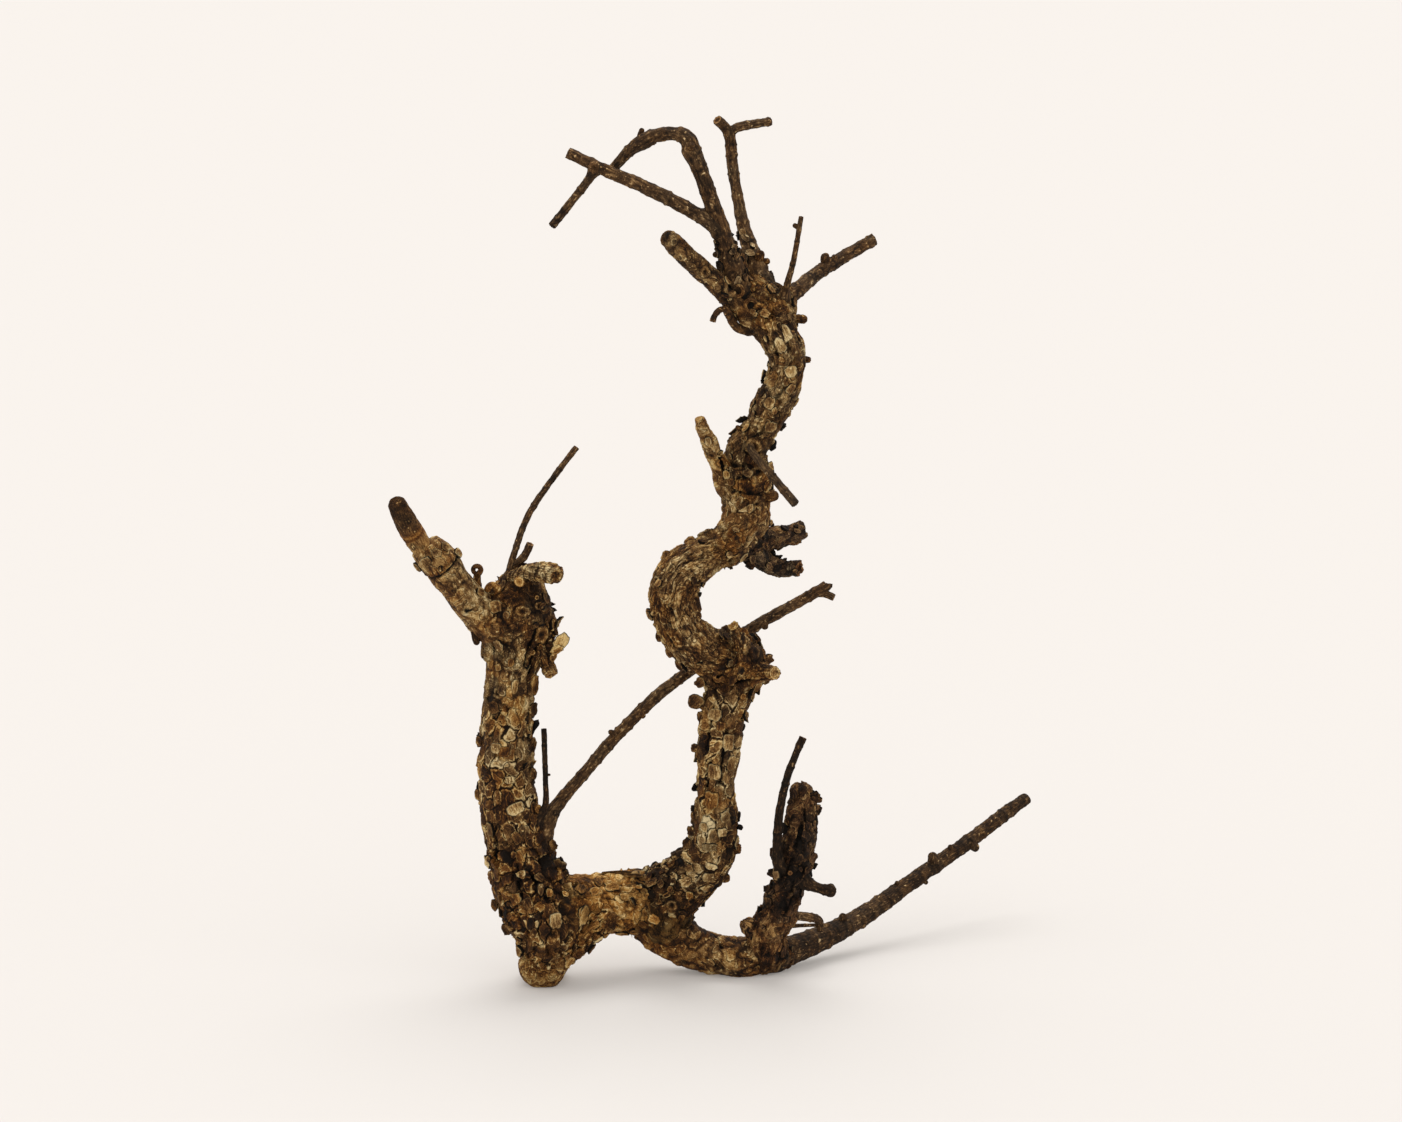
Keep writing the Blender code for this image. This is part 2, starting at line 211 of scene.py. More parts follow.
    def push(self, height, facing=None):
        """Moves every point outwards by its height."""
        facing = self.normals() if facing is None else facing
        self.places = self.places + facing * height[..., None]


class Solid:
    """The CAD shape of a branch, to measure distances from."""

    def __init__(self, name):
        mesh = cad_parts[name].data
        spots = np.array([tuple(v.co / MM) for v in mesh.vertices])
        self.low, self.high = spots.min(0), spots.max(0)
        faces = [tuple(p.vertices) for p in mesh.polygons]
        self.tree = BVHTree.FromPolygons(spots.tolist(), faces)

    def gap(self, places, reach):
        """How far each place is outside the solid, in mm, or reach where it is further."""
        flat = places.reshape(-1, 3)
        gaps = np.full(len(flat), float(reach))
        near = np.all((flat > self.low - reach) & (flat < self.high + reach), axis=1)
        for index in np.flatnonzero(near).tolist():
            spot = Vector(flat[index])
            found, facing, _, distance = self.tree.find_nearest(spot, reach)
            if found is not None:
                gaps[index] = distance if (spot - found).dot(facing) >= 0 else -distance
        return gaps.reshape(places.shape[:2])


def flare(skin, others, reach=7.0):
    """Swells a branch where it meets others, as grown wood does, and paints shade into the crease."""
    for other in others:
        gap = other.gap(skin.places, reach)
        closeness = 1 - np.clip(gap, 0, reach) / reach
        skin.push(reach / 4 * closeness ** 2)
        # Painted shade: the crease where the branches meet is darkened towards the crevice colour.
        skin.paint["crack"] += 0.55 * smooth((closeness - 0.72) / 0.28)


def away_from(skin, along, turn):
    """How far each point of the skin is from a spot on it, in mm."""
    sideways = (skin.turn - math.radians(turn) + math.pi) % (2 * math.pi) - math.pi
    return np.hypot(skin.x - along, sideways[None, :] * skin.radius[:, None])


def mix_in(skin, share, paint):
    """Mixes paint in where share is above 0."""
    for name, value in paint.items():
        skin.paint[name] = skin.paint[name] * (1 - share) + value * share


SCAR_TALL = 0.4


def scar(skin, along, turn, radius):
    """A round scar where a twig once grew: a raised pale ring with a dark sunken middle."""
    away = away_from(skin, along, turn) + 0.3 * ripple(skin.places, 1.8, 5)
    ring = np.exp(-((away - radius) / (0.35 * radius)) ** 2)
    middle = smooth(1 - away / (0.75 * radius))
    skin.push(SCAR_TALL * ring - 0.8 * SCAR_TALL * middle)
    near = smooth((1.5 * radius - away) / (0.3 * radius))
    mix_in(skin, near, dict(edge=3.0, layer=0.4, crack=0.0, tone=0.3 + 0.35 * ring))
    skin.paint["crack"] += middle + 0.7 * np.exp(-((away - 1.5 * radius) / 0.4) ** 2)


def groove(skin, start, end, width=0.8, deep=1.5, dark=1.2):
    """A dark crack from one spot on the skin, (along, turn), to another."""
    middle = math.radians((start[1] + end[1]) / 2)
    turn = (skin.turn[None, :] - middle + math.pi) % (2 * math.pi) - math.pi + middle
    radius = skin.radius[:, None]
    run, swing = end[0] - start[0], math.radians(end[1] - start[1])
    x, y = skin.x - start[0], (turn - math.radians(start[1])) * radius
    share = np.clip((x * run + y * swing * radius) / (run ** 2 + (swing * radius) ** 2), 0, 1)
    away = np.hypot(x - share * run, y - share * swing * radius)
    away = away + 0.5 * ripple(skin.places, 2.5, 6)
    here = smooth(1.3 - away / width) * smooth(np.sin(math.pi * share) * 2 + 0.5)
    skin.push(-deep * here)
    skin.paint["crack"] += dark * here


def grooves(skin, cracks, **looks):
    """Cracks, each from one (along, turn) to another, given as four numbers."""
    for along, turn, end_along, end_turn in cracks:
        groove(skin, (along, turn), (end_along, end_turn), **looks)


def scatter(skin, spacing, rng):
    """Middles of the bark plates on the bark laid out flat, roughly spacing apart."""
    girth = 2 * math.pi * skin.thickness
    low, high = skin.along[0], skin.along[-1]
    smallest = min(level(spacing, skin.along))
    tries = int(9 * (high - low) * girth / smallest ** 2)
    xs = rng.uniform(low, high, tries)
    ys = rng.uniform(-girth / 2, girth / 2, tries)
    apart = level(spacing, xs) * rng.uniform(0.5, 1.55, tries)
    kept = np.empty((0, 2))
    for x, y, gap in zip(xs, ys, apart):
        sideways = np.abs(kept[:, 1] - y)
        sideways = np.minimum(sideways, girth - sideways)
        if not len(kept) or np.min(np.maximum(np.abs(kept[:, 0] - x), sideways)) > gap * 0.86:
            kept = np.vstack((kept, (x, y)))
    return kept


BOXY = 6
PLATE_REACH = 14.0
ROWS_AT_ONCE = 12


def lay_plates(skin, middles, stretch, lean, warp):
    """For each point: its plate, its place on that plate, and how far it is from the edge."""
    girth = 2 * math.pi * skin.thickness
    bent = skin.places
    x = skin.x + warp * rough(bent, 5.0, 11) + 0.25 * warp * ripple(bent, 1.3, 13)
    y = skin.y + warp * rough(bent, 5.0, 12) + 0.25 * warp * ripple(bent, 1.3, 14)
    plate = np.zeros(x.shape, int)
    across = np.zeros(x.shape + (2,))
    edge = np.zeros(x.shape)
    for row in range(0, len(x), ROWS_AT_ONCE):
        rows = slice(row, row + ROWS_AT_ONCE)
        near = np.flatnonzero((middles[:, 0] > x[rows].min() - PLATE_REACH)
                              & (middles[:, 0] < x[rows].max() + PLATE_REACH))
        off_x = x[rows][..., None] - middles[near, 0]
        off_y = y[rows][..., None] - middles[near, 1]
        off_y = (off_y + girth / 2) % girth - girth / 2
        turned = lean[near]
        long_way = (off_x * np.cos(turned) + off_y * np.sin(turned)) / stretch[near]
        wide_way = off_y * np.cos(turned) - off_x * np.sin(turned)
        away = (np.abs(long_way) ** BOXY + np.abs(wide_way) ** BOXY) ** (1 / BOXY)
        order = np.argpartition(away, 1, axis=-1)[..., :2]
        two = np.take_along_axis(away, order, axis=-1)
        swap = two[..., 0] > two[..., 1]
        first = np.where(swap, order[..., 1], order[..., 0])
        edge[rows] = np.abs(two[..., 0] - two[..., 1]) / 2
        plate[rows] = near[first]
        for number, way in enumerate((long_way, wide_way)):
            across[rows, :, number] = np.take_along_axis(way, first[..., None], axis=-1)[..., 0]
    return plate, across, edge


def bark(skin, seed, plate=4.8, depth=0.5, lift=0.28, tilt=0.16, swirl=0.0, tone=0.4, spread=0.15,
         warm=0.45, hue=0.2, crack=0.35, flow=5.0, lumps=0.5, warp=1.1, fused=0.2, drawn=0.4):
    """Breaks a branch's surface into plates with cracks, or flowing ridges where swirl is 1.

    plate, depth, lift, tilt and crack are the plates' size, thickness, unevenness, slope and gap.
    tone, warm, spread and hue are their colour and how much it varies. lumps is how knobbly the
    branch is, flow how wide the ridges are, and drawn is below 1 where they run along the branch.
    fused joins plates, and warp bends their edges.
    """
    rng = np.random.default_rng(seed)
    facing = skin.normals()
    middles = scatter(skin, plate, rng)
    count = len(middles)
    stretch = rng.uniform(0.8, 1.9, count)
    lean = rng.normal(0.0, 0.35, count)
    which, across, edge = lay_plates(skin, middles, stretch, lean, warp)
    places, along = skin.places, skin.x
    mixed = level(swirl, along)
    edge = edge + 0.9 * smooth((ripple(places, 6.0, seed + 2) + fused - 0.3) / 0.35) + 1.5 * mixed
    top = smooth(edge / (level(crack, along) * 1.6))
    raised = rng.uniform(-1.0, 1.0, count)[which] * level(lift, along)
    lean_x, lean_y = rng.normal(0, 1, count)[which], rng.normal(0, 1, count)[which]
    raised = raised + level(tilt, along) * (lean_x * across[..., 0] + lean_y * across[..., 1])
    dome = -0.05 * (across ** 2).sum(-1) * level(depth, along)
    bent = rough(places, 5.0, seed + 21, 2)
    carried = np.stack((along * drawn, skin.fibre[..., 1], skin.fibre[..., 2]), axis=-1)
    wander = np.stack([rough(places, 8.0, seed + 60 + n, 2) for n in range(3)], axis=-1)
    folds = np.abs(ripple(carried + 2.2 * wander, flow, seed + 31))
    fine_folds = np.abs(ripple(carried + 1.4 * wander, 0.45 * flow, seed + 32))
    ridges = 1.5 * folds + 0.55 * fine_folds
    plates = (top - 1) * level(depth, along) + (raised + dome) * top
    height = plates * (1 - mixed) + level(depth, along) * 1.3 * mixed * ridges
    big_lumps = level(lumps, along) * rough(places, 11.0, seed + 41, 2)
    height = height + 0.35 * (1 - mixed) * ridges + big_lumps
    height = height + 0.12 * rough(places, 1.1, seed + 44, 2)
    skin.push(height - np.percentile(height, 66), facing)
    shade = rng.normal(0, 1, count)[which] * level(spread, along) * (1 - 0.8 * mixed)
    folded = mixed + 0.3 * (1 - mixed)
    skin.paint["flow"] = 0.4 + 0.6 * mixed
    # Painted light and shade: raised plates and the crests of the ridges are lightened, sunken plates
    # darkened, and the valleys between the folds darkened towards the crevice colour.
    skin.paint["tone"] = (level(tone, along) + shade + 0.2 * raised * (1 - mixed) + 0.14 * bent
                          + folded * 0.5 * (np.minimum(ridges, 1.0) - 0.45))
    skin.paint["crack"] += folded * (0.85 * smooth(1 - folds / 0.09)
                                     + 0.5 * smooth(1 - fine_folds / 0.08))
    skin.paint["warm"] = (level(warm, along) + rng.normal(0, 1, count)[which] * level(hue, along)
                          + 0.3 * rough(places, 14.0, seed + 51, 2))
    skin.paint["edge"] = np.minimum(edge, 3.0)
    skin.paint["layer"] = 1.1 * rough(places, 7.0, seed + 33, 2) + rng.uniform(0, 1, count)[which]
    apart = rng.uniform(0, 40, count)[which] * (1 - mixed)
    turned = rng.normal(0, 0.8, count)[which] * (1 - mixed)
    skin.fibre = np.stack((skin.fibre[..., 0] * (drawn / 0.4) ** 1.3 + apart,
                           skin.fibre[..., 1] + turned * across[..., 0],
                           skin.fibre[..., 2] + turned * across[..., 0]), axis=-1)


def daub(skin, spots):
    """Paints round spots: distance along, turn in degrees, width in mm, and paint to mix in."""
    for along, turn, width, paint in spots:
        away = away_from(skin, along, turn) / width + 0.3 * ripple(skin.places, width * 0.8, 77)
        mix_in(skin, smooth((1.2 - away) / 0.5), paint)


SHARP_EDGE = 32.0


class Piece:
    """Gathers the skins and chips of one branch, and makes them one mesh."""

    def __init__(self, *skins):
        self.spots, self.faces, self.fibre, self.count = [], [], [], 0
        self.paint = {name: [] for name in CHANNELS}
        for skin in skins:
            self.add_skin(skin)

    def add(self, spots, faces, fibre, paint):
        """Adds points, faces and paint, with nothing below the ground."""
        self.spots.append(spots)
        self.fibre.append(fibre)
        self.faces.extend([tuple(n + self.count for n in face) for face in faces])
        spots[:, 2] = np.maximum(spots[:, 2], 0.0)
        for name in self.paint:
            self.paint[name].append(np.broadcast_to(paint[name], len(spots)))
        self.count += len(spots)

    def add_skin(self, skin):
        """Adds the skin of a branch, closed at both ends."""
        rows, columns = skin.places.shape[:2]
        index = np.arange(rows * columns).reshape(rows, columns)
        beside = np.roll(index, -1, axis=1)
        quads = np.stack((index[:-1], beside[:-1], beside[1:], index[1:]), axis=-1)
        faces = quads.reshape(-1, 4).tolist()
        faces += [tuple(index[0][::-1]), tuple(index[-1])]
        flat = {name: values.reshape(-1) for name, values in skin.paint.items()}
        self.add(skin.places.reshape(-1, 3).copy(), faces, skin.fibre.reshape(-1, 3), flat)

    def add_chips(self, skin, seed, count, size=2.4, lift=0.4, tone=0.42, warm=0.45, where=None):
        """Loose flakes of bark, scattered, that stand off the branch."""
        rng = np.random.default_rng(seed)
        chance = level(1.0 if where is None else where, skin.along) * skin.radius
        chance[(skin.along < 0) | (skin.along > skin.length)] *= 0.4
        for row in rng.choice(len(skin.along), count, p=chance / chance.sum()):
            along = skin.along[row]
            width = size * rng.uniform(0.4, 1.15)
            self.add_chip(skin, along, rng.uniform(-180, 180), width * rng.uniform(1.0, 1.7), width,
                          spin=rng.normal(0, 30), slope=abs(rng.normal(0, 0.25)) + 0.06,
                          hinge=rng.uniform(0, 360), rise=lift * rng.uniform(-0.5, 1.0),
                          square=rng.uniform(2.0, 5.0), curve=rng.uniform(-0.05, 0.08),
                          tone=float(level(tone, along)) + rng.normal(0, 0.13),
                          warm=float(level(warm, along)) + rng.normal(0, 0.2), rng=rng)

    def add_chip(self, skin, along, turn, length, width, spin=0.0, **looks):
        """A flake of bark that lies on a branch."""
        place, normal, long_way, bend = skin.spot(along, turn, spin)
        self.add_flake(place, normal, long_way, length, width, bend=bend, **looks)

    def add_lip(self, skin, along, turn, length, width, spin=0.0, out=0.0, face=1.6, **looks):
        """A flake at the side of a branch that stands out by out mm and faces the front."""
        place, normal, long_way, _ = skin.spot(along, turn, spin)
        self.add_flake(place + normal * out, normal + face * FRONT, long_way, length, width, **looks)

    def set_chips(self, skin, flakes, **looks):
        """Flakes at set spots: distance along, turn, length, width, spin, tone and warmth."""
        for along, turn, length, width, spin, tone, warm in flakes:
            self.add_chip(skin, along, turn, length, width, spin, tone=tone, warm=warm, **looks)

    def set_lips(self, skin, lips, **looks):
        """Lips at set spots: distance along, turn, length, width, spin, out, tone and warmth."""
        for along, turn, length, width, spin, out, tone, warm in lips:
            self.add_lip(skin, along, turn, length, width, spin, out=out, tone=tone, warm=warm,
                         square=2.6, **looks)

    def hang_flakes(self, flakes, facing, bend=0.03, **looks):
        """Flakes that hang on: place, length, width, spin, tone and warmth."""
        for place, length, width, spin, tone, warm in flakes:
            spin = math.radians(spin)
            long_way = (math.sin(spin), 0, math.cos(spin))
            self.add_flake(place, facing, long_way, length, width, bend=bend, tone=tone, warm=warm,
                           **looks)

    def add_flake(self, place, normal, long_way, length, width, bend=0.0, slope=0.08, hinge=0.0,
                  rise=0.3, tone=0.5, warm=0.4, thick=None, rng=None, square=4.0, curve=0.0):
        """One flake of bark, tilted up by slope away from the hinge side.

        square is how boxy its outline is, and curve bends its long way up (or down if below 0).
        """
        if place[2] < 0.8:
            return
        rng = rng or np.random.default_rng(int(abs(sum(place)) * 10 + length * 100))
        place, normal, long_way = (np.asarray(part, float) for part in (place, normal, long_way))
        normal = normal / np.linalg.norm(normal)
        long_way = long_way - normal * (long_way @ normal)
        long_way /= np.linalg.norm(long_way)
        sideways = np.cross(normal, long_way)
        sides = 9 + rng.integers(3) + (7 if width > 3 else 0)
        angle = (np.arange(sides) + rng.uniform(-0.3, 0.3, sides)) * 2 * math.pi / sides
        boxy = (np.abs(np.cos(angle)) ** square + np.abs(np.sin(angle)) ** square) ** (-1 / square)
        reach = 0.5 * boxy * rng.uniform(0.8, 1.1, sides)
        long_side, wide_side = reach * np.cos(angle) * length, reach * np.sin(angle) * width
        hinge = math.radians(hinge)
        thick = rng.uniform(0.25, 0.5) if thick is None else thick
        waves = rng.uniform(-0.15, 0.15, sides)
        base, lip = min(rise, 0.0) - 0.9, rng.uniform(0.0, 0.25)
        spots, fibre = [], []
        rings = [(0.9, base - rise), (1.05, 0.25 * thick), (0.97, 0.85 * thick + lip),
                 (0.86, thick + lip), (0.45, thick + 0.3 * lip)]
        apart = rng.uniform(0, 40)
        for shrink, height in rings:
            x, y = long_side * shrink, wide_side * shrink
            off = (x * math.cos(hinge) + y * math.sin(hinge) + 0.45 * width) * slope
            off = off + curve * x * x - bend * y * y + height + rise + (waves if height > 0 else 0)
            spots.append(place + long_way * x[:, None] + sideways * y[:, None] + normal * off[:, None])
            fibre.append(np.stack((x * 0.22 + apart, y, 0 * y), axis=-1))
        top = rise + thick + 0.45 * width * slope
        spots += [(place + normal * top)[None], (place + normal * base)[None]]
        fibre += [np.array([(apart, 0.0, 0.0)])] * 2
        last = len(rings) * sides
        faces = []
        for side in range(sides):
            beside = (side + 1) % sides
            faces += [(ring + side, ring + beside, ring + sides + beside, ring + sides + side)
                      for ring in range(0, last - sides, sides)]
            faces += [(last - sides + side, last - sides + beside, last), (beside, side, last + 1)]
        slant = 0.13 * np.cos(angle - rng.uniform(0, 2 * math.pi))

        def shared(rim, others, middle, under, across=0.0):
            return np.concatenate([value + across * slant for value in rim + others]
                                  + [[middle, under]])

        # Painted shadow: the flake's outer rings and underside are darkened, and their crack paint gives
        # a dark outline like the shadow its edge casts on the branch.
        self.add(np.vstack(spots), faces, np.vstack(fibre), {
            "tone": shared((tone - 0.3, tone - 0.1, tone + 0.04), (tone + 0.14, tone), tone, 0.0, 1.0),
            "crack": shared((1.0, 1.0, 0.75), (0.0, 0.0), 0.0, 1.0),
            "edge": shared((0.2, 0.25, 0.45), (0.75, 3.0), 3.0, 0.0),
            "warm": warm, "flow": 0.6, "layer": rng.uniform(0, 1)})

    def make(self, node, material):
        """Makes the mesh that replaces the CAD node."""
        name = node + "_wood"
        mesh = bpy.data.meshes.new(name)
        mesh.from_pydata((np.vstack(self.spots) * MM).tolist(), [], self.faces)
        for key, values in self.paint.items():
            layer = mesh.attributes.new(key, 'FLOAT', 'POINT')
            layer.data.foreach_set("value", np.concatenate(values).astype(np.float32))
        layer = mesh.attributes.new("fibre", 'FLOAT_VECTOR', 'POINT')
        layer.data.foreach_set("vector", np.vstack(self.fibre).astype(np.float32).ravel())
        mesh.polygons.foreach_set("use_smooth", [True] * len(mesh.polygons))
        mesh.update()
        mesh.set_sharp_from_angle(angle=math.radians(SHARP_EDGE))
        mesh.materials.append(material)
        made = bpy.data.objects.new(name, mesh)
        bpy.context.scene.collection.objects.link(made)
        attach(made, "root")
        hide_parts(node)


def srgb(code):
    """A colour of the renderer from a web colour such as 9a8460."""
    parts = [int(code[n:n + 2], 16) / 255 for n in (0, 2, 4)]
    return [p / 12.92 if p <= 0.04045 else ((p + 0.055) / 1.055) ** 2.4 for p in parts] + [1.0]


def ramp(nodes, places, codes):
    """A colour ramp from places and web colours."""
    node = nodes.new("ShaderNodeValToRGB")
    elements = node.color_ramp.elements
    elements[1].position = places[1]
    for place in places[2:]:
        elements.new(place)
    for stop, code in zip(elements, codes.split()):
        stop.color = srgb(code)
    return node


# The crevice colour is blended in for dark cracks and grain lines, and also as painted shade.
CREVICE = "0b0704"
ROUGHNESS = 0.65
SPECK_SIZE, GRAIN_SIZE, CLOUD_SIZE, PATCH_SIZE = 1.3 * MM, 0.5 * MM, 2.6 * MM, 5.0 * MM


def wood_paint(name, cool, warm, places=(0.0, 0.22, 0.42, 0.62, 0.82, 1.0), fine=0.8, streaks=0.65,
               bump=0.35, worn_and_lit_rims=0.4, cloudy=0.45):
    """Bark whose colour follows the plates' tone and warmth, with grain along its fibres.

    cool and warm are web colours from dark to pale. fine, streaks and cloudy are how much the fine
    grain, the fibres and the clouds lighten it. The rim weight is how much the pale rims of the plates
    and the lips of their steps lighten it, partly wear and partly painted highlight. bump is in mm.
    """
    material = bpy.data.materials.new(name)
    material.use_nodes = True
    nodes, links = material.node_tree.nodes, material.node_tree.links
    shader = nodes["Principled BSDF"]
    shader.inputs["Specular IOR Level"].default_value = 0.12
    where = nodes.new("ShaderNodeTexCoord").outputs["Object"]

    def attribute(key, output="Fac"):
        node = nodes.new("ShaderNodeAttribute")
        node.attribute_name = key
        return node.outputs[output]

    def noise(place, scale, detail, roughness=0.6, distortion=0.0):
        node = nodes.new("ShaderNodeTexNoise")
        node.inputs["Scale"].default_value = scale
        node.inputs["Detail"].default_value = detail
        node.inputs["Roughness"].default_value = roughness
        node.inputs["Distortion"].default_value = distortion
        links.new(place, node.inputs["Vector"])
        return node.outputs["Fac"]

    def math_node(operation, first, second=None, third=None):
        node = nodes.new("ShaderNodeMath")
        node.operation = operation
        for socket, value in zip(node.inputs, (first, second, third)):
            if value is None:
                continue
            if isinstance(value, (int, float)):
                socket.default_value = value
            else:
                links.new(value, socket)
        return node.outputs[0]

    def step(value, low, high):
        """Rises smoothly from 0 at low to 1 at high, or falls where high is the smaller."""
        node = nodes.new("ShaderNodeMapRange")
        node.interpolation_type = 'SMOOTHSTEP'
        backwards = high < low
        node.inputs["From Min"].default_value = min(low, high)
        node.inputs["From Max"].default_value = max(low, high)
        node.inputs["To Min"].default_value = float(backwards)
        node.inputs["To Max"].default_value = float(not backwards)
        links.new(value, node.inputs["Value"])
        return node.outputs["Result"]

    def blend(share, first, second):
        node = nodes.new("ShaderNodeMix")
        node.data_type = 'RGBA'
        node.clamp_factor = True
        links.new(share, node.inputs["Factor"])
        for socket, value in zip([s for s in node.inputs if s.type == 'RGBA'], (first, second)):
            if isinstance(value, list):
                socket.default_value = value
            else:
                links.new(value, socket)
        return [s for s in node.outputs if s.type == 'RGBA'][0]

    grain = noise(where, 1 / GRAIN_SIZE, 3.0, 0.7)
    cloud = noise(where, 1 / CLOUD_SIZE, 3.0, 0.6, 0.6)
    patches = noise(where, 1 / PATCH_SIZE, 2.0)
    specks = step(noise(where, 1 / SPECK_SIZE, 1.0, 0.4), 0.69, 0.75)
    strands = noise(attribute("fibre", "Vector"), 1.7, 3.0, 0.65, 0.25)
    veins = noise(attribute("fibre", "Vector"), 0.6, 2.0, 0.55, 1.6)
    veins = math_node('ABSOLUTE', math_node('SUBTRACT', veins, 0.5))
    vein = math_node('MULTIPLY', step(veins, 0.036, 0.008), attribute("flow"))
    crest = math_node('MULTIPLY', step(veins, 0.04, 0.12), attribute("flow"))
    share = math_node('FRACT', math_node('MULTIPLY_ADD', strands, 0.3, attribute("layer")))
    # Painted highlight and shade: the lips of the steps and the pale rims of the plates are lightened
    # (the rims partly wear, partly painted highlight), and the risers of the steps are darkened.
    lip = step(share, 0.16, 0.03)
    riser = math_node('MULTIPLY', step(share, 0.82, 0.93), step(share, 1.0, 0.96))
    edge = math_node('MULTIPLY_ADD', grain, 0.3, attribute("edge"))
    rim = math_node('MULTIPLY', step(edge, 0.34, 0.5), step(edge, 0.95, 0.62))
    rim = math_node('MULTIPLY', rim, step(patches, 0.36, 0.56))
    gap = step(edge, 0.46, 0.24)
    tone = attribute("tone")
    for pattern, much in ((grain, fine), (cloud, cloudy), (strands, streaks), (rim, worn_and_lit_rims),
                          (lip, worn_and_lit_rims * 0.6), (crest, 0.2), (specks, 0.4)):
        tone = math_node('MULTIPLY_ADD', pattern, much, tone)
    tone = math_node('SUBTRACT', tone, 0.5 * (fine + streaks + cloudy) + 0.025)
    warmth = math_node('MULTIPLY_ADD', cloud, 0.5, attribute("warm"))
    warmth = math_node('SUBTRACT', warmth, 0.1)
    ramps = [ramp(nodes, places, codes) for codes in (cool, warm)]
    for node in ramps:
        links.new(tone, node.inputs["Fac"])
    colour = blend(warmth, *[node.outputs["Color"] for node in ramps])
    # The crevice colour is mixed in by the crack attribute, the gaps between plates, the risers of the
    # steps and the dark veins: dark cracks and grain lines, and painted shade in creases, hollows, gaps,
    # risers and under flakes.
    shadow = math_node('MULTIPLY_ADD', cloud, 0.3, attribute("crack"))
    shadow = math_node('SUBTRACT', shadow, 0.15)
    for pattern, much in ((gap, 0.92), (riser, 0.6), (vein, 0.8)):
        shadow = math_node('MAXIMUM', shadow, math_node('MULTIPLY', pattern, much))
    colour = blend(shadow, colour, srgb(CREVICE))
    links.new(colour, shader.inputs["Base Color"])
    links.new(math_node('MULTIPLY_ADD', grain, 0.3, ROUGHNESS), shader.inputs["Roughness"])
    relief = nodes.new("ShaderNodeBump")
    relief.inputs["Strength"].default_value = 1.0
    relief.inputs["Distance"].default_value = bump * MM
    high = math_node('MULTIPLY_ADD', strands, 1.3, math_node('MULTIPLY', grain, 0.6))
    high = math_node('MULTIPLY_ADD', lip, 0.4, high)
    high = math_node('MULTIPLY_ADD', crest, 0.7, high)
    high = math_node('SUBTRACT', high, math_node('MULTIPLY', riser, 0.6))
    links.new(high, relief.inputs["Height"])
    links.new(relief.outputs["Normal"], shader.inputs["Normal"])
    return material


def nub(place, way, reach, radius, tip=None, end="round", tone=0.36, warm=0.5):
    """A short stub or bud that grows out of a branch at a place."""
    place, way = np.asarray(place, float), np.asarray(way, float)
    way = way / np.linalg.norm(way)
    tip = radius * 0.85 if tip is None else tip
    root = radius * 0.8
    start = place - way * root
    points = [(*(start + way * (reach + root) * share), radius + (tip - radius) * share ** 1.5)
              for share in (0.0, 0.35, 0.7, 1.0)]
    made = Skin(points, step=max(0.2, min(GRAIN, radius / 4)), end=end)
    rind(made, int(abs(place.sum()) * 7) + 900, tone=tone, warm=warm, knobbly=0.3, rings=3.0)
    if end == "cut":
        end_grain(made, rim=tone + 0.3, heart=tone + 0.1, warm=warm + 0.3)
    return made


def cut_dot(skin, along, turn, radius, reach=0.8, tone=0.95, heart=0.5, warm=0.7):
    """The cut end of a small twig: a pale disc with an orange heart."""
    place, out, _, _ = skin.spot(along, turn)
    made = nub(place, out + 0.5 * FRONT, reach, radius, tip=radius, end="cut")
    end_grain(made, rim=tone, heart=heart, warm=warm)
    return made


def bark_curl(centre, size, thick, start, sweep, tone=0.35, warm=0.5, depth=0.0):
    """A strip of bark curled like a C that faces the front. Angles go from right to up."""
    points = []
    for share in np.linspace(0, 1, 8):
        angle = math.radians(start + sweep * share)
        points.append((centre[0] + size * math.cos(angle), centre[1] + depth * share,
                       centre[2] + size * math.sin(angle), thick * (1.0 - 0.35 * share)))
    made = Skin(points, step=max(0.2, thick / 4))
    seed = int(abs(centre[0] + centre[2]) * 7) + 1300
    rind(made, seed, tone=tone, warm=warm, knobbly=0.25, rings=4.0)
    return made


WRINKLE = 0.08


